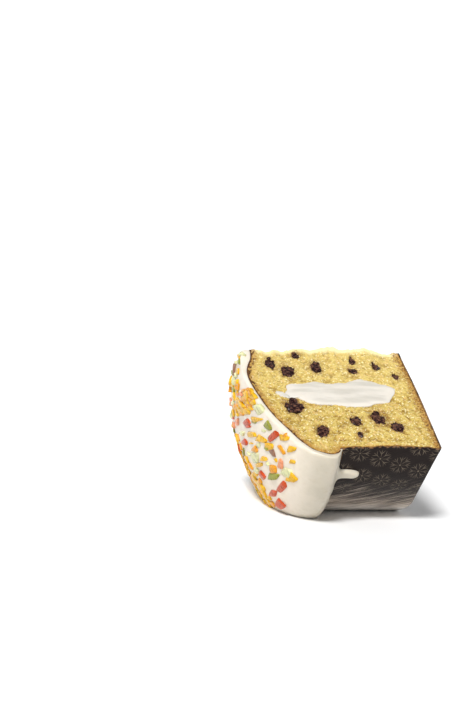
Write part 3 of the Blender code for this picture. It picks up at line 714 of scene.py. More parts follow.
def section_patch(u, v):
    """The loaf's section as a Coons patch: the axis, base, side and crown are its four edges, and each
    place is the sum of what opposite edges give, less what the corners give."""
    wall_share = 0.62
    base, top = np.array((0, LOAF_BASE)), LOAF_CROWN[0]
    foot, shoulder = np.array((WALL_RADIUS, LOAF_BASE)), along(LOAF_CROWN, SHOULDER_SHARE)
    wall_top = LOAF_CROWN[-1]

    def side(v):
        up = np.clip(v / wall_share, 0, 1)[..., None]
        wall = foot + up * (np.array((WALL_RADIUS, wall_top[1])) - foot)
        bulge = along(LOAF_CROWN, 1 - (v - wall_share) / (1 - wall_share) * (1 - SHOULDER_SHARE))
        return np.where(v[..., None] <= wall_share, wall, bulge)

    u, v = np.broadcast_arrays(u, v)
    a, b = u[..., None], v[..., None]
    corners = (1 - a) * (1 - b) * base + a * (1 - b) * foot + (1 - a) * b * top + a * b * shoulder
    edges = (1 - b) * (base + a * (foot - base)) + b * along(LOAF_CROWN, u * SHOULDER_SHARE)
    return edges + (1 - a) * (base + b * (top - base)) + a * side(v) - corners


def distance_to(line, places):
    """The distance from each place to the nearest sample of a line."""
    nearest = [
        np.sqrt(((part[:, None] - line[None]) ** 2).sum(axis=2)).min(axis=1)
        for part in np.array_split(places, max(1, len(places) // 4000))
    ]
    return np.concatenate(nearest)


def cream_reach(outline, turn):
    """The cream's outline by direction: where a ray from its middle at this angle meets it."""
    away = outline[:-1] - CREAM_MIDDLE
    angles = np.arctan2(away[:, 1], away[:, 0])
    order = np.argsort(angles)
    return np.interp(turn, angles[order], np.linalg.norm(away, axis=1)[order], period=math.tau)


def cream_inside(outline, places):
    """How far inside the cream's outline each place of the cut lies, in metres, and below 0 outside it."""
    away = places - CREAM_MIDDLE
    reach = cream_reach(outline, np.arctan2(away[:, 1], away[:, 0]))
    return distance_to(outline, places) * np.sign(reach - np.linalg.norm(away, axis=1))


def chip_rows(far):
    """The chips of one cut, worked back from their nodes' boxes: the name, the middle, and the half widths
    out and up.

    Along one side of its box, a chip that is w wide in the cut and d deep behind it measures
    r = w + sqrt(w * w + d * d), so w = (r * r - d * d) / (2 * r)."""
    turned = SHOWN_ANGLE - WEDGE if far else SHOWN_ANGLE
    outwards = -np.array((math.sin(turned), math.cos(turned)))
    widest = np.argmax(abs(outwards))
    deep = CHIP_DEPTH * abs(outwards[1 - widest])
    rows = []
    start = "chip_far" if far else "chip_shown"
    for name in sorted(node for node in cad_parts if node.startswith(start)):
        low, high = (np.array(corner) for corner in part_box(name))
        middle = (low + high) / 2 - (BASE_X, AXIS_Y, AXIS_HEIGHT)
        measure = (high - low)[1 + widest]
        half_out = (measure**2 - deep**2) / (2 * measure) / abs(outwards[widest])
        slide = CHIP_SLIDES_MM.get(name, (0, 0))
        out, up = middle[1:] @ outwards + slide[0] * MM, -middle[0] + slide[1] * MM
        rows.append((name, out, up, half_out, (high - low)[0] / 2))
    return rows


def blob(out, up, half_long, half_wide, tilt, seed, ragged, corner=(0, 0)):
    """A ball of latitudes and longitudes in a cut, drawn out to two half widths times a ragged outline,
    with one corner that sticks out. Gives its distances from the axis and heights, its width at each
    latitude, and the latitudes."""
    turn, rise = np.meshgrid(np.linspace(0, math.tau, 57), np.linspace(-math.pi / 2, math.pi / 2, 29))
    turn[:, -1] = 0
    ring = np.cos(rise) ** 0.7
    around = np.stack([np.cos(turn), np.sin(turn), np.full_like(turn, seed * 7.3)], axis=-1)
    waves = ((0.45, 0.9), (0.6, 0.4), (0.4, 0.17))
    outline = sum(share * lumps(around, size, 70 + seed) for share, size in waves)
    turned = (turn - math.radians(corner[0]) + math.pi) % math.tau - math.pi
    reach = ring * (0.95 + ragged * outline + corner[1] * np.exp(-((turned / 0.32) ** 2)))
    long, wide = half_long * reach * np.cos(turn), half_wide * reach * np.sin(turn)
    rho = out + long * math.cos(tilt) - wide * math.sin(tilt)
    height = up + long * math.sin(tilt) + wide * math.cos(tilt)
    rho[[0, -1]], height[[0, -1]] = out, up
    return np.maximum(rho, 0.2 * MM), height, ring, rise


def cut_face(settings, far):
    """One cut of the loaf: its section, sunk by the pores, by the bed of the cream and by the beds of the
    chips.

    The depth is a mean, plus slow swells, plus stretched pores that lean one way or the other from patch to
    patch, plus a few large holes, plus fine grains, and it fades to nothing at the rim of the cut. The
    values for the material are how deep a place lies, how near to the tip and to a chip, and its distances
    from the crown, the wall, the base and the axis."""
    steps = np.linspace(0, 1, settings.cells + 1)
    section = section_patch(*np.meshgrid(steps, steps))
    shape = section.shape[:2]
    flat = section.reshape(-1, 2)
    rho, height = flat.T
    place = np.column_stack([flat, np.full(len(flat), 0.5 if far else 0)])
    seed = 40 if far else 0

    crown = distance_to(LOAF_CROWN, flat)
    wall = np.where(height < LOAF_CROWN[-1, 1], WALL_RADIUS - rho, crown)
    base = height - LOAF_BASE
    rim = np.minimum(np.minimum(crown, wall), base)
    hem = (smoothstep(0, 1.3 * MM, rim) * smoothstep(0, 1.6 * MM, rho)).reshape(shape)
    hem[0], hem[-1], hem[:, -1] = 0, 0, 0
    hem = hem.ravel()

    warp = np.stack([lumps(place, 3.2 * MM, seed + 11), lumps(place, 3.2 * MM, seed + 12)], axis=1)
    lean = smoothstep(-0.12, 0.12, lumps(place, 9 * MM, seed + 13))
    small = 0
    for turn, weight in ((0.65, lean), (-0.75, 1 - lean)):
        turned = flat @ np.array(((math.cos(turn), -math.sin(turn)), (math.sin(turn), math.cos(turn))))
        turned = (turned + warp * 0.8 * MM) * (1, 0.58)
        small = small + weight * pores(turned, settings.grain_size, seed + 21)
    large = pores(flat + warp * 1.5 * MM, settings.hole_size, seed + 31)
    large = np.clip(large * 1.7 - 0.35, 0, 1) * smoothstep(3 * MM, 6 * MM, rim)
    fine = lumps(place, 1.15 * MM, seed + 14)
    swell = lumps(place, 10 * MM, seed + 15)
    depth = 0.32 * MM + swell * 0.3 * MM + settings.grain * small**0.8 + settings.hole * large**0.7
    depth = depth + fine * 0.26 * MM
    # How deep a place lies in the pores, which the material paints as shade
    pit = np.clip((depth - swell * 0.3 * MM + 0.05 * MM) / (1.25 * MM), 0, 1)

    bed = CREAM_BED * smoothstep(-0.5 * MM, 0.9 * MM, cream_inside(CREAM if far else CREAM_SHOWN, flat))
    stain = np.zeros_like(rho)
    for name, out, up, half_out, half_up in chip_rows(far):
        away = np.hypot((rho - out) / half_out, (height - up) / half_up) + 0.2 * fine
        chip_bed = HOLLOW_BED if name in HOLLOW_CHIPS else CHIP_BED
        bed = np.maximum(bed, chip_bed * smoothstep(1.12, 0.7, away))
        stain = np.maximum(stain, smoothstep(1.75, 1.1, away))
    depth = hem * (np.maximum(depth, -0.15 * MM) + bed)

    # Painted highlight along the torn tip, within a few millimetres of the axis
    pale = 1 - smoothstep(0.5 * MM, 4.5 * MM, rho + lumps(place, 4 * MM, seed + 16) * 1.2 * MM)
    grid = in_cut(rho, height, depth, far).reshape(*shape, 3)
    values = dict(pit=pit, pale=pale, crown=crown, wall=wall, base=base, out=rho, stain=stain)
    return grid, {name: value.reshape(shape) for name, value in values.items()}


def loaf_skin(settings):
    """The loaf's skin between the cuts: the section's base, side and crown, carried round the axis."""
    steps = np.linspace(0, 1, settings.cells + 1)
    ones = np.ones_like(steps)
    u = np.concatenate([steps, ones[1:], steps[-2::-1]])
    v = np.concatenate([0 * steps, steps[1:], ones[1:]])
    section = section_patch(u, v)[:, None]
    angle = -np.linspace(0, WEDGE, WEDGE_STEPS + 1)[None]
    return lay_down(section[..., 0], angle, section[..., 1], CRUMB_LIFT)


class PANETTONE_OT_crumb(bpy.types.Operator):
    """Builds the crumb: two cuts full of pores, and the loaf's brown skin between them."""

    bl_idname = "panettone.crumb"
    bl_label = "Crumb"

    def execute(self, context):
        settings = context.scene.panettone_crumb
        sheets = Sheets()
        for far in (False, True):
            grid, values = cut_face(settings, far)
            sheets.add(grid, **values)
        sheets.add(loaf_skin(settings), pit=0.3, pale=0, crown=0, wall=0, base=0, out=0, stain=0)
        sheets.piece("crumb_cuts", self.finish_of(settings), "crumb", "crumb")
        return {"FINISHED"}

    def finish_of(self, settings):
        """Yellow walls and ochre pores, the pores darkened by painted shade, with tan patches, pale grains
        and a pale tip that are painted highlights, stained round the chips, warmer and brighter with painted
        light towards the tip, and browning towards the crust.

        The crust is a line whose thickness wavers, drawn by the distance to the crown, the wall and the
        base, with dark blobs inside it under the top of the dome and brown specks above the base."""
        finish = Finish("crumb", Roughness=0.82, Subsurface_Weight=0.1, Subsurface_Scale=0.002)
        finish.set(Subsurface_Radius=(1, 0.6, 0.25), Specular_IOR_Level=0.2)
        grains = finish.noise(0.9 * MM, detail=4, roughness=0.7)
        patches = finish.noise(6 * MM, detail=2)
        # Painted shade: the deeper the pore, the darker the crumb, with random grain mixed in
        sunk = finish.plus(finish.value("pit"), finish.times(grains, 1.1))
        body = finish.mix(finish.spread(sunk, 0.7, 1.35), rgba(settings.light), rgba(settings.shade))
        body = finish.mix(finish.spread(sunk, 1.15, 1.6, 0, 0.75), body, rgba(settings.deep))
        body = finish.mix(finish.spread(patches, 0.4, 0.7, 0, 0.25), body, (0.9, 0.76, 0.36, 1), "MULTIPLY")
        # Painted highlights: single grains and the torn tip turn pale
        glinting_grains = finish.noise(1.2 * MM, detail=2)
        tan = finish.spread(finish.noise(2.4 * MM, detail=3, stretch=(1, 1.4, 1)), 0.52, 0.68, 0, 0.6)
        body = finish.mix(tan, body, rgba(settings.tan))
        pale = finish.most(finish.value("pale"), finish.spread(glinting_grains, 0.56, 0.68, 0, 0.9))
        body = finish.mix(finish.times(pale, 0.88), body, rgba(settings.pale))

        crown, wall, base, out = (finish.value(name) for name in ("crown", "wall", "base", "out"))
        # Painted light: the crumb turns warmer and brighter towards the tip
        body = finish.mix(finish.spread(out, 60 * MM, 15 * MM, 0, 0.2), body, rgba(settings.painted_tip_light))
        stain = finish.times(finish.value("stain"), finish.spread(grains, 0.42, 0.6, 0, 0.85))
        body = finish.mix(stain, body, rgba(settings.stain))
        fray = finish.less(finish.noise(2 * MM, detail=3, roughness=0.6), 0.5)
        specks = finish.noise(1 * MM, detail=2)
        dome = finish.spread(out, 52 * MM, 34 * MM)

        def line(distance, thickness, waver, soft=0.22):
            """1 within a wavering thickness of an edge and 0 beyond it, with a soft change, in
            millimetres."""
            edge = finish.math("MULTIPLY_ADD", fray, waver * MM, thickness * MM)
            return finish.spread(finish.less(distance, edge), soft * MM, -soft * MM)

        gold = finish.most(line(crown, 3.6, 7, 2.8), line(base, 3.2, 8, 2.6))
        gold = finish.times(gold, finish.spread(grains, 0.35, 0.6, 0.55, 0.95))
        gold = finish.most(gold, line(wall, 1.1, 5, 0.8))
        body = finish.mix(gold, body, rgba(settings.baked))
        section = finish.nodes.new("ShaderNodeCombineXYZ")
        finish.give(section.inputs[0], crown)
        finish.give(section.inputs[1], out)
        blobs = finish.noise(2.3 * MM, detail=1, stretch=(1, 1.7, 1), place=section.outputs[0])
        blobs = finish.times(finish.spread(blobs, 0.47, 0.53), finish.times(line(crown, 3, 4, 0.6), dome))
        flecks = finish.times(finish.spread(specks, 0.5, 0.6), line(base, 3, 8, 1.6))
        crust = line(crown, settings.crust / MM + 0.55, 4.2)
        marks = ((blobs, 0.95), (line(base, 0.45, 3), 0.75), (flecks, 0.75), (line(wall, 0.5, 2, 0.2), 0.72))
        for mark, share in marks:
            crust = finish.most(crust, finish.times(mark, share))
        finish.set(Base_Color=finish.mix(crust, body, rgba(settings.dark)))
        finish.bump(finish.noise(0.5 * MM, detail=3, roughness=0.7), 0.4 * MM, 0.9)
        return finish.material


def cream_outline(turn, angle):
    """The cream's outline at a turn round it and an angle round the cake: it wanders as a whole between the
    cuts, and close to a cut its edge is ragged."""
    opened = smoothstep(-CREAM_BLEND, 0, angle)[..., None]
    point = along(CREAM, turn) * (1 - opened) + along(CREAM_SHOWN, turn) * opened
    normal = -outward(CREAM, turn % 1)
    inside = np.minimum(1, np.minimum(-angle, WEDGE + angle) / CREAM_NEAR_CUT)
    place = upright(point, angle)
    wander = CREAM_WANDER * inside * lumps(place, 18 * MM, 61)
    ragged = 1 - smoothstep(0, 1, inside)
    edge = ragged * (lumps(place, 2.6 * MM, 62) * 0.5 + lumps(place, 1.1 * MM, 63) * 0.5)
    return point + normal * (wander + edge * CREAM_RAGGED)[..., None]


def cream_cap(far):
    """The cream in a cut, as square rings that turn into its outline: a place is the middle plus its ring's
    size times the way to the outline. It bulges a little, and the knife left shallow streaks along it."""
    steps = np.linspace(-1, 1, CREAM_CELLS + 1)
    x, y = np.meshgrid(steps, steps)
    size = np.maximum(abs(x), abs(y))
    sideways = np.where(x > 0, 0, 0.5) + y / np.where(x == 0, 1, x) / 8
    upwards = np.where(y > 0, 0.25, 0.75) - x / np.where(y == 0, 1, y) / 8
    turn = np.where(abs(y) > abs(x), upwards, sideways) % 1
    angle = np.full_like(turn, -WEDGE if far else 0)
    outline = cream_outline(turn, angle)
    section = CREAM_MIDDLE + size[..., None] * (outline - CREAM_MIDDLE)
    place = np.concatenate([section, angle[..., None]], axis=-1)
    raised = 1 - size**8
    swell = 0.3 * lumps(place * (1, 0.5, 1), 7 * MM, 64) + 0.1 * lumps(place, 2.6 * MM, 65)
    grid = in_cut(section[..., 0], section[..., 1], CREAM_RIM - raised * (0.7 + swell) * MM, far)
    return grid, turn, size


class PANETTONE_OT_cream(bpy.types.Operator):
    """Builds the cream band: a cap in each cut, and its tube through the loaf between them."""

    bl_idname = "panettone.cream"
    bl_label = "Cream"

    def execute(self, context):
        settings = context.scene.panettone_cream
        sheets = Sheets()
        for far in (False, True):
            grid, turn, size = cream_cap(far)
            sheets.add(grid, rim=smoothstep(0.8, 1, size))
        edge = np.concatenate([turn[0, :-1], turn[:-1, -1], turn[-1, :0:-1], turn[:0:-1, 0], turn[0, :1]])
        angle = -np.linspace(0, WEDGE, WEDGE_STEPS * 2 + 1)[:, None]
        section = cream_outline(*np.broadcast_arrays(edge[None], angle))
        tube = lay_down(section[..., 0], angle, section[..., 1])
        for row, far in ((0, False), (-1, True)):
            tube[row] = in_cut(section[row, :, 0], section[row, :, 1], CREAM_RIM, far)
        sheets.add(tube, rim=0)
        rho, height, _, rise = blob(**SMEAR, seed=3, ragged=0.3)
        depth = 0.75 + 0.9 * np.sin(rise) + 1.5 * np.maximum(np.sin(rise), 0)
        sheets.add(in_cut(rho, height, depth * MM, False), rim=0)
        sheets.piece("cream_band", self.finish_of(settings), "cream", "cream")
        return {"FINISHED"}

    def finish_of(self, settings):
        """Soft white with grey streaks that the knife drew along it, and whiter along its rim."""
        finish = Finish("cream", Roughness=0.55, Subsurface_Weight=0.3, Subsurface_Scale=0.003)
        finish.set(Subsurface_Radius=(1, 0.85, 0.7), Specular_IOR_Level=0.3)
        bands = finish.noise(5 * MM, detail=2, stretch=(5, 1, 1), roughness=0.45)
        share = finish.math("MULTIPLY_ADD", finish.value("rim"), -0.8, finish.spread(bands, 0.36, 0.64))
        body = finish.mix(finish.most(share, 0), rgba(settings.white), rgba(settings.shade))
        finish.set(Base_Color=body)
        finish.bump(finish.noise(2.4 * MM, detail=3, stretch=(1.6, 1, 1)), 0.3 * MM, 0.35)
        return finish.material


class PANETTONE_OT_chips(bpy.types.Operator):
    """Builds the chocolate chips of both cuts, each a lumpy blob with a nearly flat cut side."""

    bl_idname = "panettone.chips"
    bl_label = "Chips"

    def execute(self, context):
        settings = context.scene.panettone_chips
        for far in (False, True):
            sheets, nodes = Sheets(), []
            for seed, row in enumerate(chip_rows(far)):
                sheets.add(self.chip(row, settings, far, seed))
                nodes.append(row[0])
            sheets.piece("chips_far" if far else "chips_shown", self.finish_of(settings), "chip", *nodes)
        return {"FINISHED"}

    def chip(self, row, settings, far, seed):
        """A blob whose deep half reaches as deep as the setting, and whose near half is a rough cut
        side."""
        name, out, up, half_out, half_up = row
        corner = CHIP_CORNERS.get(name, (0, 0))
        rho, height, ring, rise = blob(out, up, half_out, half_up, 0, seed + 20 * far, 0.5, corner)
        place = np.stack([rho, height, np.full_like(rho, 0.4 * far)], axis=-1)
        rim = HOLLOW_RIM if name in HOLLOW_CHIPS else CHIP_RIM
        rough = lumps(place, 2.4 * MM, 75) * 0.75 * MM + lumps(place, 0.95 * MM, 76) * 0.3 * MM
        depth = rim + np.where(rise > 0, settings.depth * 0.9, 0.8 * MM) * np.sin(rise) + ring * rough
        depth[[0, -1]] = depth[[0, -1], :1]
        return in_cut(rho, height, depth, far)

    def finish_of(self, settings):
        """Dark chocolate with paler, rougher patches where the knife went through it: partly the paler
        cut chocolate, partly painted highlights.
        """
        finish = Finish("chocolate", Specular_IOR_Level=0.22)
        # Paler patches, partly cut chocolate and partly painted highlights
        bloom_and_painted_glints = finish.noise(1.8 * MM, detail=4, roughness=0.7)
        body = finish.mix(finish.spread(bloom_and_painted_glints, 0.46, 0.66), rgba(settings.dark), rgba(settings.bloom_and_painted_glints))
        finish.set(Base_Color=body, Roughness=finish.spread(bloom_and_painted_glints, 0.35, 0.65, 0.16, 0.5))
        finish.bump(finish.noise(1.7 * MM, detail=3, roughness=0.6), 0.5 * MM, 0.6)
        return finish.material


def edge_heights(angle):
    """The icing's lower edge round the paper, without and with its drips: each hangs as a rounded tongue,
    whose length is the drip's times (1 - |x| ** 2.5) ** 0.5 at x half widths from its middle, with a fillet
    beside it."""
    base = np.interp(-np.degrees(angle), -EDGE[:, 0], EDGE[:, 1]) * MM
    base = base + lumps(on_line(angle * RADIUS), 7 * MM, 81) * 0.35 * MM
    low = base
    for drip in DRIPS:
        away = abs(angle - math.radians(drip["angle"])) * RADIUS / drip["half"]
        tongue = np.clip(1 - away**2.5, 0, 1) ** 0.5
        fillet = 0.14 * np.exp(-2.2 * np.maximum(away - 1, 0)) * (away < 4)
        low = np.minimum(low, base - np.maximum(tongue, fillet) * (base - drip["tip"]))
    return base, low


def icing_angles():
    """The angles of the icing's columns, in steps of a twentieth of a degree: wide apart in general, closer
    in the drips and next to the cuts."""
    last = round(math.degrees(WEDGE) * 20)
    near = np.array((0, 2, 5, 10, 17))
    drips = [round(-drip["angle"] * 20) + np.arange(-72, 73, 3) for drip in DRIPS]
    steps = np.unique(np.concatenate([near, last - near, np.arange(26, last - 20, 13), *drips]))
    return -np.radians(steps / 20)


def icing_skin(settings):
    """The icing's outer and inner surfaces, as rows from the axis to the lower edge by columns round the
    axis, in distances from the axis and heights.

    Over the crown the outer one is the crown's line, moved out by the thickness and by slow waves, and
    rounded at the cuts. Below the widest place it follows the bulge's foot in to the paper, and then lies
    on the paper as a film: sqrt(1 - (1 - d / t) ** 2) times its thickness t, at the distance d from the
    edge."""
    angle = icing_angles()[None]
    cut_away = np.minimum(-angle, WEDGE + angle)

    share = np.linspace(0, WIDEST, CROWN_ROWS)[:, None]
    line, normal = along(CROWN, share), outward(CROWN, share)
    normal = normal * np.stack([np.minimum(1, line[..., 0] / (4 * MM)), np.ones_like(share)], axis=-1)
    place = upright(line, angle)
    wave = settings.wave * (lumps(place, 17 * MM, 82) + 0.35 * lumps(place, 6 * MM, 83))
    by_cut = 1 - np.minimum(line[..., 0] * cut_away / (1.3 * MM), 1)
    wave = wave + 0.22 * MM * by_cut * lumps(place, 2.6 * MM, 85)
    softened = 0.5 * MM * by_cut**2
    cap = through(GLAZE_CAP_MM, line[..., 0])
    thick = (GLAZE_OUTER + cap + wave - softened)[..., None]
    outer = [line + normal * thick]
    inner = [np.broadcast_to(line + normal * GLAZE_INNER, outer[0].shape)]

    base, low = edge_heights(angle)
    top = base + LIP
    edge = np.concatenate([angle * RADIUS, low], axis=0).T
    even, known = np.linspace(0, 1, EDGE_SAMPLES), np.linspace(0, 1, len(edge))
    edge = np.stack([np.interp(even, known, part) for part in edge.T], axis=1)
    down = 1 - (1 - np.linspace(0, 1, FILM_ROWS))[:, None] ** 1.5
    height = top + down * (low - top)
    unrolled = np.stack(np.broadcast_arrays(angle * RADIUS, height), axis=-1)
    reach = distance_to(edge, unrolled.reshape(-1, 2)).reshape(height.shape)
    reach[-1] = 0
    film = settings.film * np.sqrt(1 - (1 - np.minimum(reach / settings.film, 1)) ** 2)
    for drip in DRIPS:
        bead = np.exp(-(((height - drip["tip"] - 3.2 * MM) / (3 * MM)) ** 2))
        bead = bead * (abs(angle - math.radians(drip["angle"])) * RADIUS < drip["half"])
        film = film * (1 + 0.55 * bead)

    share = np.linspace(0, 1, FOOT_ROWS)[1:, None]
    foot = along(BULGE_FOOT, share)
    start = outer[0][-1]
    rise, stand = foot[..., 0] / BULGE_FOOT[0, 0], foot[..., 1] / BULGE_FOOT[0, 1]
    outer_foot = np.stack([
        PAPER_FACE + film[0] + stand * (start[..., 0] - PAPER_FACE - film[0]),
        top + rise * (start[..., 1] - top),
    ], axis=-1)
    below = WIDEST + share * (1 - WIDEST)
    tucked = along(CROWN, below) + outward(CROWN, below) * GLAZE_INNER
    on_paper = np.stack(np.broadcast_arrays(FILM_INNER, top), axis=-1)
    blend = smoothstep(0.45, 1, share)[..., None]
    outer.append(outer_foot)
    inner.append(tucked + blend * (on_paper - tucked))

    outer.append(np.stack([PAPER_FACE + film, height], axis=-1)[1:])
    inner.append(np.stack(np.broadcast_arrays(FILM_INNER, height), axis=-1)[1:])
    return angle, np.concatenate(outer), np.concatenate(inner)


class PANETTONE_OT_icing(bpy.types.Operator):
    """Builds the icing: its skin, its underside, the edge between them and its section in each cut."""

    bl_idname = "panettone.icing"
    bl_label = "Icing"

    def execute(self, context):
        settings = context.scene.panettone_icing
        angle, outer, inner = icing_skin(settings)
        sheets = Sheets()
        for side, lowest in ((outer, 0), (inner, INNER_LIFT)):
            sheets.add(lay_down(side[..., 0], angle, side[..., 1], lowest), cut=0)
        across = np.linspace(0, 1, ICING_LAYERS + 1)
        edge = outer[-1] + across[:, None, None] * (inner[-1] - outer[-1])
        sheets.add(lay_down(edge[..., 0], angle, edge[..., 1]), cut=0)
        for far in (False, True):
            column = -1 if far else 0
            skin, underside = outer[:, column, None], inner[:, column, None]
            section = skin + across[:, None] * (underside - skin)
            rho, height = section[..., 0], section[..., 1]
            place = np.stack([rho, height, np.full_like(rho, 0.3 * far)], axis=-1)
            swell = 4 * across * (1 - across) * smoothstep(0, 3 * MM, rho)
            swell[-1] = 0
            proud = swell * (0.2 * MM + 0.16 * MM * lumps(place, 1.8 * MM, 84))
            sheets.add(in_cut(rho, height, -proud, far), cut=np.minimum(1, swell * 2))
        sheets.piece("icing_glaze", self.finish_of(settings), "icing", "icing")
        return {"FINISHED"}

    def finish_of(self, settings):
        """Satin warm white, turned creamier and darker towards the bulge by painted shade, with cloudy
        tone and faint smears from the fruit.
        """
        finish = Finish("icing", Subsurface_Weight=0.25, Subsurface_Scale=0.003, Coat_Roughness=0.22)
        finish.set(Subsurface_Radius=(1, 0.8, 0.55), Coat_Weight=0.22)
        parts = finish.nodes.new("ShaderNodeSeparateXYZ")
        finish.give(parts.inputs[0], finish.place)
        # Painted shade: towards the bulge, which faces away from the light, the icing turns to the cream
        # colour
        bulge = finish.spread(parts.outputs["X"], -30 * MM, -10 * MM, 0, 0.8)
        bulge_shade_and_clouds = finish.plus(bulge, finish.spread(finish.noise(14 * MM, detail=3), 0.35, 0.7, 0, 0.25))
        small = finish.noise(2.5 * MM, detail=3)
        body = finish.mix(bulge_shade_and_clouds, rgba(settings.white), rgba(settings.cream))
        body = finish.mix(finish.spread(small, 0.55, 0.8, 0, 0.25), body, (0.8, 0.7, 0.5, 1), "MULTIPLY")
        finish.set(Base_Color=body, Roughness=finish.spread(small, 0.3, 0.7, 0.3, 0.46))
        finish.bump(finish.noise(3.5 * MM, detail=4, roughness=0.45), 0.35 * MM, 0.35)
        return finish.material


def bit_shape():
    """A chopped bit between -1 and 1: the six sides of a cube as grids, drawn halfway towards a ball."""
    steps = np.linspace(-1, 1, BIT_CELLS + 1)
    a, b = np.meshgrid(steps, steps)
    one = np.ones_like(a)
    sides = [np.stack(side, axis=-1) for side in (
        (a, b, one), (b, a, -one), (one, a, b), (-one, b, a), (b, one, a), (a, -one, b),
    )]
    cube = np.stack(sides)
    return cube * 0.55 + 0.55 * cube / np.linalg.norm(cube, axis=-1, keepdims=True)


def lean_corners(shape, draw):
    """Moves the eight corners of the shape by a random way, and everything between them in proportion."""
    offsets = draw.uniform(-1, 1, (2, 2, 2, 3)) * (0.5, 0.5, 0.25)
    moved = shape.copy()
    share = np.clip((shape + 1) / 2, 0, 1)
    for corner in np.ndindex(2, 2, 2):
        weight = np.prod(np.where(corner, share, 1 - share), axis=-1, keepdims=True)
        moved += weight * offsets[corner]
    return moved


def in_picture(points):
    """The pixel of the picture at which the camera sees each point."""
    away = points - CAMERA_PLACE
    deep = away @ CAMERA_FORWARD
    return np.stack([MIDDLE_X + FOCAL_PIXELS * (away @ CAMERA_RIGHT) / deep,
                     MIDDLE_Y + FOCAL_PIXELS * (away @ CAMERA_DOWN) / deep], axis=-1)


def tangent(normal, way):
    """The way's part in the surface, one long."""
    way = way - normal * (way @ normal)
    return way / np.linalg.norm(way)


def drawn_out(place, normal, turn, long, wide):
    """The two ways in the icing's surface that look this long and this wide in the picture, at this turn.

    The surface's two directions look shorter there, by the singular values of the map between them. Each is
    undone in turn, but none that is below the least slant."""
    right = tangent(normal, CAMERA_RIGHT)
    basis = np.array((right, np.cross(normal, right)))
    scale = FOCAL_PIXELS / ((place - CAMERA_PLACE) @ CAMERA_FORWARD)
    seen = [in_picture(place + way * MM) - in_picture(place) for way in basis]
    left, sizes, back = np.linalg.svd(np.stack(seen, axis=1) / (MM * scale))
    undone = back.T @ np.diag(1 / np.clip(sizes, FRUIT_SLANT, None)) @ left.T
    sine, cosine = math.sin(turn), math.cos(turn)
    looks = np.array(((cosine * long, sine * long), (-sine * wide, cosine * wide)))
    return looks @ undone.T @ basis


